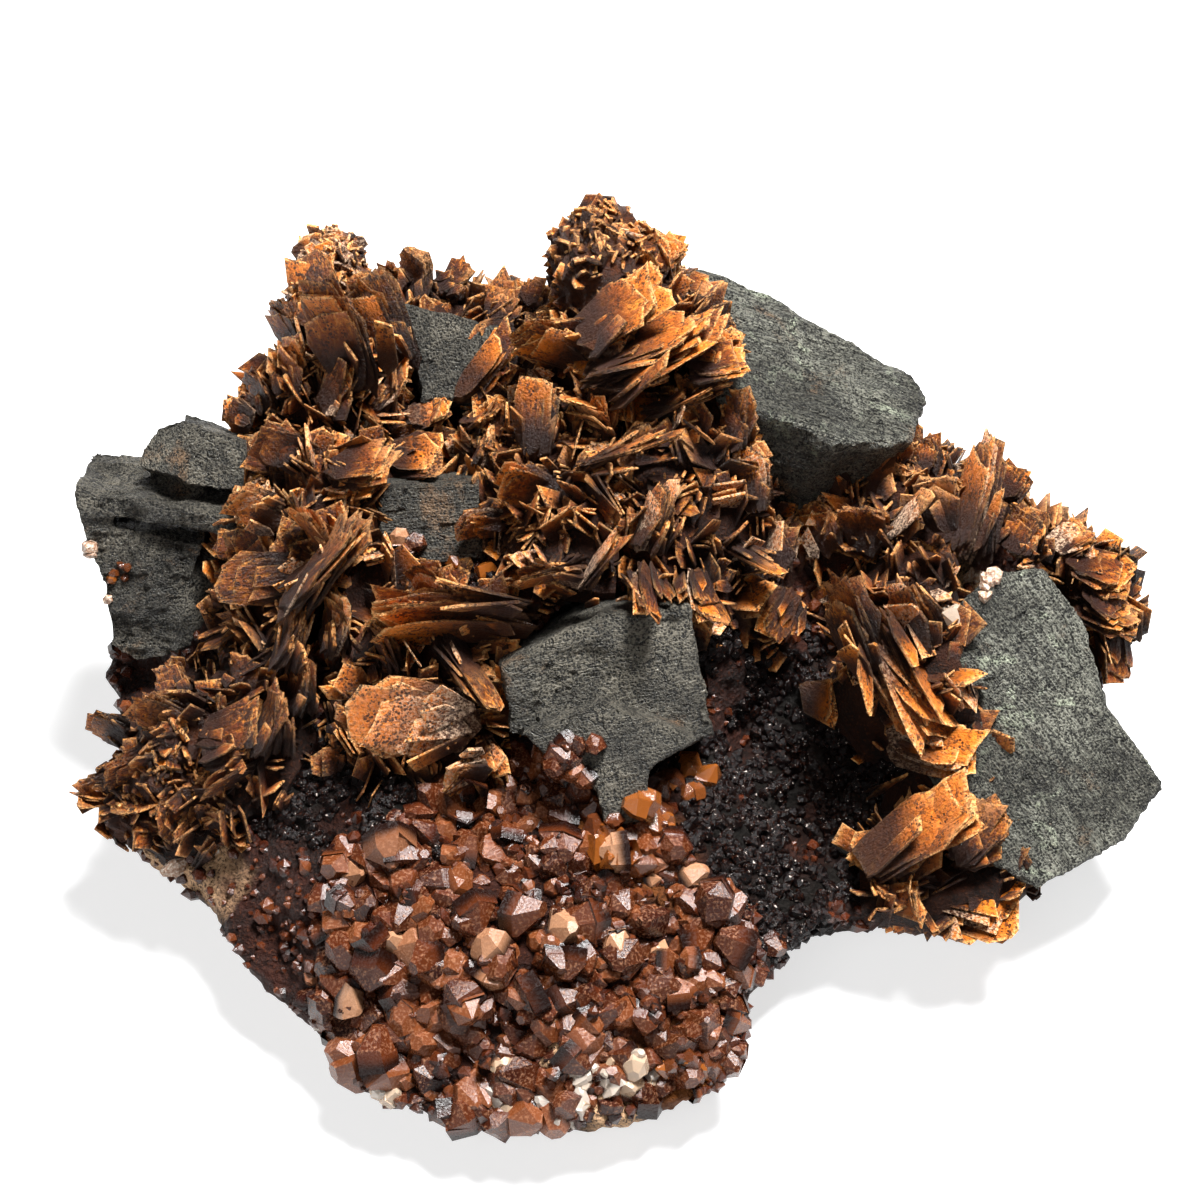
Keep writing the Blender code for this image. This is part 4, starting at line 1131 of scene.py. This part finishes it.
def cleavage(mesh):
    """The three ways that a galena crystal splits, from its largest faces."""
    sides = [(face.area, face.normal.copy()) for face in mesh.polygons]

    def widest(allowed):
        found = {}
        for area, normal in sides:
            if allowed(normal):
                key = tuple(round(c * 3) for c in normal)
                found.setdefault(key, []).append((area, normal))
        most = max(found.values(), key=lambda group: sum(area for area, _ in group))
        return sum((normal * area for area, normal in most), Vector()).normalized()

    first = widest(lambda n: True)
    second = widest(lambda n: abs(n.dot(first)) < 0.4)
    third = first.cross(second).normalized()
    second = third.cross(first)
    slope = in_view(0.85, -0.5, 0)  # the way that the lines on the right crystals run
    if abs(second.dot(slope)) > abs(third.dot(slope)):
        second, third = -third, second
    return Matrix((first, second, third))


FINE_VOXEL, VOXEL, ROCK_VOXEL = 0.40 * MM, 0.50 * MM, 1.0 * MM  # how fine the meshes are


def worn(name):
    """A galena crystal with chipped ledges along its cleavage and an uneven face."""
    split = cleavage(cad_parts[name].data)
    slabs = [slab(*block) for block in SLABS.get(name, ())]
    voxel = FINE_VOXEL if name in FINE_GALENA else VOXEL
    mesh = remeshed(name, voxel, slabs=slabs, alone=name == "galena_left")
    places, normals = places_and_normals(mesh)
    moved = places.copy()
    for i, (p, n) in enumerate(zip(places, normals)):
        p = Vector(p) / MM
        rough = noise.fractal(p * 0.8, 0.9, 2.0, 4) * GRAIN_DEPTH
        broken = clamped(BROKEN_SHARE + 1.6 * noise.noise(p * 0.16))
        q = split @ p + Vector((rough, -rough, rough)) * 3
        if name in STRIATED:
            rough += LINE_DEPTH * noise.noise(Vector((q.x * 1.3, q.y * 1.3, q.z * 0.10)))
        ledge = sum(depth * (0.5 + 0.5 * noise.cell(q / width)) for width, depth in LEDGES)
        moved[i] += n * (rough - ledge * broken) * MM
    moved = boxed(moved)
    mesh.vertices.foreach_set("co", moved.ravel())
    mesh.update()
    grain = mesh.attributes.new("grain", "FLOAT_VECTOR", "POINT")
    turned = np.array(split) @ (moved / MM).T
    grain.data.foreach_set("vector", turned.T.astype(np.float32).ravel())
    look = LOOKS["galena_pale" if name in STRIATED else "galena"]
    return settle(solid_piece(name + "_crystal", mesh, look, 24), "galena", name)


galena_surfaces = []
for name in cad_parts:
    if name.startswith("galena"):
        galena_surfaces.append(surface_of(worn(name).data))


# The quartz

# Places on the lump, as the photograph's pixels and a radius in mm, that differ from the rest
DARK_PLACES = [
    ((740, 840), 9), ((700, 770), 8), ((790, 900), 7), ((800, 700), 9), ((770, 790), 8),
    ((850, 830), 8), ((860, 740), 9), ((300, 790), 8), ((400, 800), 7), ((240, 800), 5),
    ((560, 560), 6), ((720, 620), 6), ((450, 590), 5), ((900, 700), 7), ((350, 760), 6),
    ((830, 880), 5),
]
PALE_PLACES = [
    ((135, 838), 4), ((155, 858), 5), ((178, 878), 5), ((205, 895), 4), ((600, 1090), 6),
    ((560, 1060), 5), ((170, 845), 6), ((210, 850), 5), ((960, 600), 6), ((620, 1125), 5),
    ((150, 850), 4),
]
AMBER_PLACES = [
    ((690, 1070), 8), ((720, 1040), 6), ((600, 840), 6), ((650, 850), 7), ((950, 620), 7),
    ((420, 900), 5),
]


def felt(spots, surface):
    """For each named place, where it is on the lump and how far it reaches."""
    found = [(on_lump(pixel, surface)[0], reach * MM) for pixel, reach in spots]
    return [(place, reach) for place, reach in found if place]


def share_of(spots, p):
    """How much a point belongs to some named places, from 0 to 1."""
    ragged = 1 + 0.5 * noise.noise(p / (3 * MM))
    return max(
        clamped(1.6 - 1.4 * ragged * (p - place).length / reach)
        for place, reach in spots
    )


rock_mesh = remeshed("quartz_matrix", voxel=ROCK_VOXEL, smooth=3)
smooth_rock = surface_of(rock_mesh)
MARKS = {
    "dark": felt(DARK_PLACES, smooth_rock),
    "pale": felt(PALE_PLACES, smooth_rock),
    "amber": felt(AMBER_PLACES, smooth_rock),
}


def rock():
    """The lump with its knobs and grain, rougher on its hidden back."""
    mesh = rock_mesh
    places, normals = places_and_normals(mesh)
    moved = places.copy()
    for i, (p, n) in enumerate(zip(places, normals)):
        p = Vector(p) / MM
        swell = 0.9 + 0.05 * min(max(p.y, 0.0), 20)
        lumps = noise.fractal(p * 0.16, 0.8, 2.1, 3) * swell
        knobs = 0.5 - noise.voronoi(p * 0.42)[0][0]
        fine = noise.fractal(p * 0.9, 0.8, 2.0, 3) * 0.22
        foot = min(1.0, p.z / 3.0)
        moved[i] += n * (lumps + knobs * 0.7 + fine - 0.5) * MM * foot
    mesh.vertices.foreach_set("co", boxed(moved).ravel())
    mesh.update()
    for name, spots in MARKS.items():
        number(mesh, name, [share_of(spots, Vector(p)) for p in places])
    number(mesh, "broken", [
        clamped(1.2 * n[1] - 0.8 * n[2] + 0.9 * noise.noise(Vector(p) / MM * 0.09))
        for p, n in zip(places, normals)
    ])
    return settle(solid_piece("quartz_rock", mesh, LOOKS["rock"], 50), "quartz", "quartz_matrix")


rock()
rock_surface = surface_of(rock_mesh)


def on_stone(pixel):
    """The place that the photograph shows at a pixel, on the rock or a galena crystal."""
    ray = seen(pixel, 0) - CAMERA
    best = (None, None, None, math.inf)
    for surface in [rock_surface] + galena_surfaces:
        hit = surface.ray_cast(CAMERA, ray)
        if hit[0] is not None and hit[3] < best[3]:
            best = hit
    return best[0], best[1]


# Where the photograph shows quartz points, in pixels: round and beyond the solid's
DRUSE_OUTLINE = [
    (330, 850), (400, 810), (470, 775), (560, 740), (600, 790), (650, 830),
    (720, 880), (770, 920), (790, 960), (760, 1050), (650, 1110), (500, 1130),
    (370, 1110), (300, 1050), (310, 950),
]
DRUSE_PITCH = 20  # pixels from one quartz point to the next
DRUSE_STRAY = 7  # pixels that a point may be off its row
GRAIN_TRIES = 9000  # places on the rock that may get a small crystal
GRAIN_LOWEST = 3 * MM  # above the table
HOLLOW_GRAINS = 2200  # black grains in the dark places


def druse():
    """Quartz points crowded over the front slope, and small ones over the rest of the rock."""
    pick = random.Random(SEED)
    heap = Heap()
    rows = [p[1] for p in DRUSE_OUTLINE]
    columns = [p[0] for p in DRUSE_OUTLINE]
    y = min(rows)
    while y < max(rows):
        x = min(columns) + pick.uniform(0, DRUSE_PITCH)
        while x < max(columns):
            aside, down = (pick.uniform(-DRUSE_STRAY, DRUSE_STRAY) for _ in range(2))
            pixel = (x + aside, y + down)
            if inside(pixel, DRUSE_OUTLINE):
                place, normal = on_lump(pixel, rock_surface)
                lean = scatter(pick, 0.42)
                radius = (1.3 + 2.1 * pick.random() ** 1.4) * MM
                tall = radius * pick.uniform(0.0, 0.4)
                if place:
                    place = place - normal * (0.35 * MM)
                    add_point(heap, pick, place, (normal + lean).normalized(), radius, tall)
            x += DRUSE_PITCH * pick.uniform(0.75, 1.2)
        y += DRUSE_PITCH * 0.78
    rock_faces = rock_mesh.polygons
    for _ in range(GRAIN_TRIES):
        face = rock_faces[pick.randrange(len(rock_faces))]
        place = face.center.copy()
        wanted = 1.0 if place.y < 0 else 0.5
        if place.z < GRAIN_LOWEST or face.normal.z < -0.25 or pick.random() > wanted:
            continue
        lean = scatter(pick, 0.4)
        radius = (0.4 + 0.8 * pick.random() ** 2) * MM
        axis = (face.normal + lean).normalized()
        add_grain(heap, pick, place, axis, radius, share_of(MARKS["dark"], place))
    hollows = [face for face in rock_faces if share_of(MARKS["dark"], face.center) > 0.3]
    for _ in range(HOLLOW_GRAINS):
        face = hollows[pick.randrange(len(hollows))]
        lean = scatter(pick, 0.5)
        radius = pick.uniform(0.35, 1.0) * MM
        add_grain(heap, pick, face.center.copy(), (face.normal + lean).normalized(), radius, 1.0)
    return settle(heap.piece("quartz_druse", [LOOKS["druse"], LOOKS["black"]], 20), "quartz")


druse()


# Crystals that stand out from the druse: a pixel, how far they spread round it in pixels,
# how many, their radii in mm and their look
STANDING = [
    ((602, 1085), 34, 12, (1.5, 2.5), "clear"), ((560, 1112), 26, 6, (1.2, 2.0), "clear"),
    ((640, 1062), 22, 5, (1.2, 1.9), "clear"), ((500, 1090), 30, 5, (1.2, 2.0), "clear"),
    ((385, 1085), 16, 3, (1.2, 2.0), "clear"), ((325, 1020), 16, 4, (0.9, 1.5), "clear"),
    ((700, 1062), 34, 10, (1.2, 2.2), "amber"), ((655, 812), 30, 7, (1.2, 2.2), "amber"),
    ((610, 850), 30, 5, (1.2, 2.2), "amber"), ((690, 780), 22, 5, (1.2, 2.2), "amber"),
    ((945, 610), 20, 8, (1.2, 2.4), "clear"), ((925, 590), 30, 16, (1.2, 2.6), "orange"),
    ((900, 560), 26, 12, (1.2, 2.4), "orange"), ((985, 585), 14, 9, (0.7, 1.3), "chip"),
    ((90, 550), 7, 12, (0.7, 1.2), "chip"), ((104, 600), 7, 12, (0.6, 1.1), "chip"),
    ((575, 780), 16, 7, (1.6, 2.4), "druse"), ((548, 758), 14, 5, (1.6, 2.2), "druse"),
    ((660, 800), 18, 6, (1.6, 2.4), "amber"), ((620, 838), 26, 7, (1.6, 2.4), "amber"),
    ((118, 573), 9, 5, (0.5, 0.9), "amber"), ((560, 760), 30, 6, (1.2, 2.0), "druse"),
    ((170, 843), 40, 16, (0.8, 1.6), "chip"), ((120, 820), 12, 5, (0.7, 1.2), "chip"),
    ((730, 330), 8, 3, (0.5, 0.9), "amber"), ((620, 560), 20, 4, (1.0, 1.6), "amber"),
    ((400, 560), 26, 6, (1.2, 1.9), "druse"), ((470, 575), 20, 4, (1.0, 1.6), "amber"),
]


def standing():
    """The crystals that stand out, each where the photograph shows it."""
    pick = random.Random(SEED + 1)
    heap = Heap()
    kinds = ["clear", "amber", "chip", "druse", "orange"]
    for (x, y), spread, count, (least, most), look in STANDING:
        kind = kinds.index(look)
        for _ in range(count):
            pixel = (x + pick.gauss(0, spread / 2), y + pick.gauss(0, spread / 2))
            place, normal = on_stone(pixel)
            if place is None:
                continue
            lean = scatter(pick, 0.4)
            radius = pick.uniform(least, most) * MM
            axis = (normal + lean).normalized()
            tall = radius * pick.uniform(0.1, 0.8)
            add_point(heap, pick, place, axis, radius, tall, kind)
    return settle(heap.piece("quartz_standing_points", [LOOKS[k] for k in kinds], 20), "quartz")


standing()


# The barite

COVER_STEPS = [(0, 1), (0.5, 1), (0.8, 0.8), (1, 0.2), (1.12, -0.3)]  # how far out, how thick
CRUST_RINGS = [0.04, 0.12, 0.2, 0.3, 0.4, 0.5, 0.6, 0.7, 0.8, 0.9, 1.0]
CRUST_UNDER = 2.5 * MM  # how far a mound goes on into the rock
BLADES_PER_COUNTED = 1.5  # the photograph hides a third of a book's blades
BLADE_THINNEST, BLADE_THICKEST = 0.32 * MM, 0.8 * MM


def crust_share(name, p):
    """How far out a place is in a cluster's outline: 0 at its middle and 1 at its edge."""
    outline = CRUSTS[name]
    centre = middle_of(outline)
    dx, dy = p[0] - centre[0], p[1] - centre[1]
    for (x0, y0), (x1, y1) in sides(outline):
        ax, ay, bx, by = x0 - centre[0], y0 - centre[1], x1 - centre[0], y1 - centre[1]
        whole = ax * by - bx * ay
        if abs(whole) < 1e-9:
            continue
        first = (dx * by - bx * dy) / whole
        second = (ax * dy - dx * ay) / whole
        if first >= 0 and second >= 0:
            return first + second
    return 0.0


def crust_cover(share):
    """How thick a mound is so far out, in shares of its thickness in the middle."""
    for (s0, c0), (s1, c1) in zip(COVER_STEPS, COVER_STEPS[1:]):
        if share <= s1:
            return c0 + (c1 - c0) * (share - s0) / (s1 - s0)
    return COVER_STEPS[-1][1]


def crust_point(name, x, y, less):
    """A place on a cluster's mound, a little under its top, and how far out it is."""
    share = crust_share(name, (x, y))
    thick = (crust_cover(share) - less) * CRUST_COVER * MM
    return Vector((x * MM, y * MM, lump_height(x * MM, y * MM) + thick)), share


def add_crust(heap, name):
    """The mound under a cluster's blades, as a fine uneven skin over the rock."""
    outline = CRUSTS[name]
    centre = Vector(middle_of(outline))
    around = []
    for (x0, y0), (x1, y1) in sides(outline):
        for t in (0, 0.25, 0.5, 0.75):
            around.append(Vector((x0 + (x1 - x0) * t, y0 + (y1 - y0) * t)))
    points = []
    for share in CRUST_RINGS:
        for corner in around:
            q = centre.lerp(corner, share)
            p, _ = crust_point(name, q.x, q.y, 0.12)
            swell = noise.fractal(p / MM * 0.5, 0.8, 2.0, 4) * 0.7 * MM
            points.append(p + Vector((0, 0, swell)))
    for share in (0.98, 0.3):
        for corner in around:
            q = centre.lerp(corner, share)
            x, y = q.x * MM, q.y * MM
            points.append(Vector((x, y, lump_height(x, y) - CRUST_UNDER)))
    n = len(around)
    faces = ring_faces(len(points) // n, n)
    faces.append(tuple(reversed(range(n))))
    faces.append(tuple(range(len(points) - n, len(points))))
    none = [0.0] * len(points)
    heap.add(points, faces, 0.5, none, [tuple(p / MM) for p in points], none, kind=1)


# The shades that blades are between: 0 dark red-brown, 0.8 orange, 1 chalky
ANY_SHADE = (0.0, 1.0)
MOST_SHADE = 0.99  # of a small blade
CLUSTER_SHADES = {
    "barite_crown": (0.35, 0.96),
    "barite_lower_left": (0.05, 0.60),
    "barite_saddle": (0.05, 0.75),
}
BOOK_SHADES = {
    ("barite_front_fan", 0): (0.60, 0.92), ("barite_front_fan", 2): (0.90, 1.0),
    ("barite_front_fan", 6): (0.0, 0.3), ("barite_left_middle", 3): (0.75, 0.97),
    ("barite_left_middle", 4): (0.60, 0.95), ("barite_left_middle", 6): (0.0, 0.25),
    ("barite_left_middle", 7): (0.0, 0.3), ("barite_right_stack", 0): (0.72, 0.97),
    ("barite_right_stack", 3): (0.86, 0.98), ("barite_right_rosette", 0): (0.55, 0.88),
    ("barite_right_rosette", 2): (0.70, 0.97),
}


def add_book(heap, pick, book, shades):
    """A book's blades, and the splinters between them."""
    axes = book_axes(book)
    grow, across, normal = axes
    root = book_root(book)
    count = round(book.blades * BLADES_PER_COUNTED)
    pitch = book.depth * MM / count
    for i in range(count):
        share = (i + 0.5) / count - 0.5
        turn = turned(book.fan * share + pick.uniform(-3, 3), across)
        twist = turned(pick.uniform(-7, 7), grow)
        length = book.length * MM * (1 - BLADE_LEAST * abs(share) + pick.uniform(-0.16, 0.04))
        width = book.width * MM * pick.uniform(0.72, 1.0)
        thick = max(BLADE_THINNEST, pitch * pick.uniform(0.55, 1.0))
        thick = min(BLADE_THICKEST, thick)
        sunk = BLADE_SUNK * length
        foot = root + normal * (book.depth * MM * share) - grow * sunk
        foot += across * (pick.uniform(-0.08, 0.08) * width)
        leant = [turn @ twist @ axis for axis in axes]
        add_plate(heap, pick, foot, leant, length + sunk, width, thick, pick.uniform(*shades))
    for _ in range(count):
        share = pick.uniform(-0.6, 0.6)
        swing = book.fan * share + pick.uniform(-14, 14)
        turn = turned(swing, across)
        twist = turned(pick.gauss(0, 16), grow)
        splay = turned(pick.gauss(0, 12), normal)
        length = book.length * MM * pick.uniform(0.3, 0.75)
        width = book.width * MM * pick.uniform(0.2, 0.5)
        thick = pick.uniform(0.3, 0.6) * MM
        foot = root + normal * (book.depth * MM * share)
        foot += across * (pick.uniform(-0.4, 0.4) * book.width * MM) - grow * (0.2 * length)
        leant = [splay @ turn @ twist @ axis for axis in axes]
        add_plate(heap, pick, foot, leant, length, width, thick, pick.uniform(*shades), True)


# Small sheaves of blades per square millimetre of mound, and the clusters that have fewer
SHEAVES = 0.52
SPARSE = {"barite_right_rosette": 0.20, "barite_right_stack": 0.24, "barite_front_fan": 0.36,
          "barite_lower_left": 0.34}


def add_fillers(heap, pick, name):
    """Small sheaves of blades at all angles, over the whole of a cluster's mound."""
    outline = CRUSTS[name]
    xs, ys = [c[0] for c in outline], [c[1] for c in outline]
    centre = Vector((*middle_of(outline), 0))
    area = 0.5 * abs(sum(a[0] * b[1] - b[0] * a[1] for a, b in sides(outline)))
    wanted = int(area * SPARSE.get(name, SHEAVES))
    made = 0
    while made < wanted:
        x, y = pick.uniform(min(xs) - 1, max(xs) + 1), pick.uniform(min(ys) - 1, max(ys) + 1)
        if crust_share(name, (x, y)) > 1.06:
            continue
        made += 1
        place, share = crust_point(name, x, y, 0.15)
        outward = Vector((x - centre.x, y - centre.y, 0)).normalized() * share
        up = (Vector((0, 0, 1)) + outward * 0.8).normalized()
        lean = scatter(pick, 0.75)
        grow = (up + lean).normalized()
        across = grow.cross(scatter(pick, 1)).normalized()
        normal = grow.cross(across)
        length = (2.2 + 5.6 * pick.random() ** 1.6) * MM
        width = length * pick.uniform(0.5, 1.05)
        tone = pick.uniform(*CLUSTER_SHADES.get(name, ANY_SHADE))
        for i in range(pick.choice((1, 1, 2, 2, 3))):
            turn = turned(pick.gauss(0, 9), across)
            spin = turned(pick.gauss(0, 14), normal)
            way, flat = spin @ (turn @ grow), turn @ normal
            reach = length * pick.uniform(0.7, 1.0)
            thick = pick.uniform(0.20, 0.42) * MM
            foot = place - way * (0.45 * reach) + normal * (i * pick.uniform(0.5, 0.9) * MM)
            axes = (way, flat.cross(way), flat)
            shade = min(MOST_SHADE, clamped(tone + pick.gauss(0, 0.12)))
            add_plate(heap, pick, foot, axes, reach * 1.25, width, thick, shade, True)


# Rounded lumps of fine grains: a pixel, its height in mm, how wide and how tall it is in
# mm, and its shade
KNOBS = {
    "barite_crown": [((600, 285), 62, 11.0, 12.0, 0.55), ((588, 262), 62, 10.0, 12.0, 0.5),
                     ((606, 248), 61, 9.5, 12.0, 0.6), ((634, 266), 62, 9.0, 9.0, 0.8)],
    "barite_left_crest": [((330, 275), 57, 8.0, 6.0, 0.95), ((332, 264), 55, 9.0, 7.0, 0.9),
                          ((312, 300), 56, 6.0, 6.0, 0.8)],
    "barite_left_middle": [((262, 505), 43, 6.0, 5.0, 0.95), ((318, 470), 45, 5.0, 5.0, 0.93)],
    "barite_lower_left": [((165, 775), 22, 9.0, 7.0, 0.35), ((215, 800), 21, 8.0, 6.0, 0.3),
                          ((135, 812), 17, 8.0, 6.0, 0.3), ((180, 738), 26, 8.0, 6.0, 0.45)],
}
SKIPPED = {"barite_crown": (0, 1), "barite_left_crest": (3,)}  # the books that knobs stand for
KNOB_RINGS, KNOB_SIDES = 18, 26
KNOB_BLADES = 150  # small blades on each


def add_knob(heap, pick, knob):
    """A lumpy mound of grains, standing up from its place."""
    pixel, height, wide, tall, tone = knob
    centre = seen(pixel, height * MM)
    points = []
    for j in range(KNOB_RINGS):
        polar = math.pi * (j + 0.5) / KNOB_RINGS
        for i in range(KNOB_SIDES):
            turn = math.tau * i / KNOB_SIDES
            level = math.sin(polar)
            way = Vector((level * math.cos(turn), level * math.sin(turn), math.cos(polar)))
            p = Vector((way.x * wide / 2, way.y * wide / 2, way.z * tall * 0.6))
            lumps = 0.55 - noise.voronoi((p + centre / MM) * 0.55)[0][0]
            fine = noise.fractal((p + centre / MM) * 1.2, 0.7, 2.0, 3)
            p += way * (lumps * 1.6 + fine * 0.5)
            points.append(centre + p * MM)
    faces = ring_faces(KNOB_RINGS, KNOB_SIDES)
    faces.append(tuple(reversed(range(KNOB_SIDES))))
    faces.append(tuple(range(len(points) - KNOB_SIDES, len(points))))
    # lift at 0.5 lays most of the painted root shade over the knob.
    rim, lift = [0.3] * len(points), [0.5] * len(points)
    heap.add(points, faces, tone, rim, [tuple(p / MM) for p in points], lift)
    for _ in range(KNOB_BLADES):
        place = points[pick.randrange(len(points))]
        grow = ((place - centre).normalized() + scatter(pick, 0.9)).normalized()
        across = grow.cross(scatter(pick, 1)).normalized()
        normal = grow.cross(across)
        length = pick.uniform(1.8, 3.8) * MM
        axes = (grow, normal.cross(grow), normal)
        shade = min(MOST_SHADE, clamped(tone + pick.gauss(0, 0.2)))
        thick = pick.uniform(0.25, 0.6) * MM
        foot = place - grow * length * 0.6
        add_plate(heap, pick, foot, axes, length, length * 0.8, thick, shade, True)


def cluster(name):
    """A cluster of barite: its mound, its knobs, its books and the small sheaves between."""
    pick = random.Random(sum(map(ord, name)))
    heap = Heap()
    add_crust(heap, name)
    for knob in KNOBS.get(name, ()):
        add_knob(heap, pick, knob)
    for i, book in enumerate(BARITE[name]):
        if i not in SKIPPED.get(name, ()):
            usual = CLUSTER_SHADES.get(name, ANY_SHADE)
            add_book(heap, pick, book, BOOK_SHADES.get((name, i), usual))
    add_fillers(heap, pick, name)
    made = heap.piece(name + "_blades", [LOOKS["barite"], LOOKS["crust"]], 28)
    return settle(made, "barite", name)


for name in BARITE:
    cluster(name)


# The floor, the light and the camera

FLOOR_HALF = 3.0
WORLD_LIGHT = 0.07
SENSOR_WIDTH = 36  # in millimetres, as a camera's is
LAMP_AIM = Vector((0, 0, 0.02))
LAMPS = {  # where each is, its size in metres and its watts
    "key": ((0.16, 0.19, 0.72), 0.22, 25),
    "fill": ((-0.30, -0.50, 0.6), 0.4, 1.7),
}


def floor_look(g):
    """A white sweep that glows a little, so that the shadow on it stays faint."""
    return {
        "Base Color": (0.45, 0.45, 0.45),
        "Roughness": 0.9,
        "Emission Color": (1.0, 1.0, 1.0),
        "Emission Strength": 0.70,
    }


def floor():
    mesh = bpy.data.meshes.new("floor")
    half = FLOOR_HALF
    corners = [(-half, -half, 0), (half, -half, 0), (half, half, 0), (-half, half, 0)]
    mesh.from_pydata(corners, [], [(0, 1, 2, 3)])
    mesh.materials.append(material("floor", floor_look))
    linked("floor", mesh)


def lamp(name, place, size, watts):
    """A square lamp that shines on the specimen."""
    light = bpy.data.lights.new(name, "AREA")
    light.size = size
    light.energy = watts
    made = linked(name, light)
    made.location = place
    made.rotation_euler = (Vector(place) - LAMP_AIM).to_track_quat("Z", "Y").to_euler()


def studio():
    world = bpy.data.worlds.new("studio")
    bpy.context.scene.world = world
    world.use_nodes = True
    back = world.node_tree.nodes["Background"]
    back.inputs["Color"].default_value = (1, 1, 1, 1)
    back.inputs["Strength"].default_value = WORLD_LIGHT
    for name, setting in LAMPS.items():
        lamp(name, *setting)
    camera = bpy.data.cameras.new("camera")
    made = linked("camera", camera)
    camera.sensor_width = SENSOR_WIDTH
    camera.lens = camera.sensor_width * VIEW_DISTANCE / SPAN
    camera.clip_start = 0.01
    made.location = CAMERA
    made.rotation_euler = VIEW_BACK.to_track_quat("Z", "Y").to_euler()
    bpy.context.scene.camera = made
    bpy.context.scene.view_settings.view_transform = "Standard"


floor()
studio()
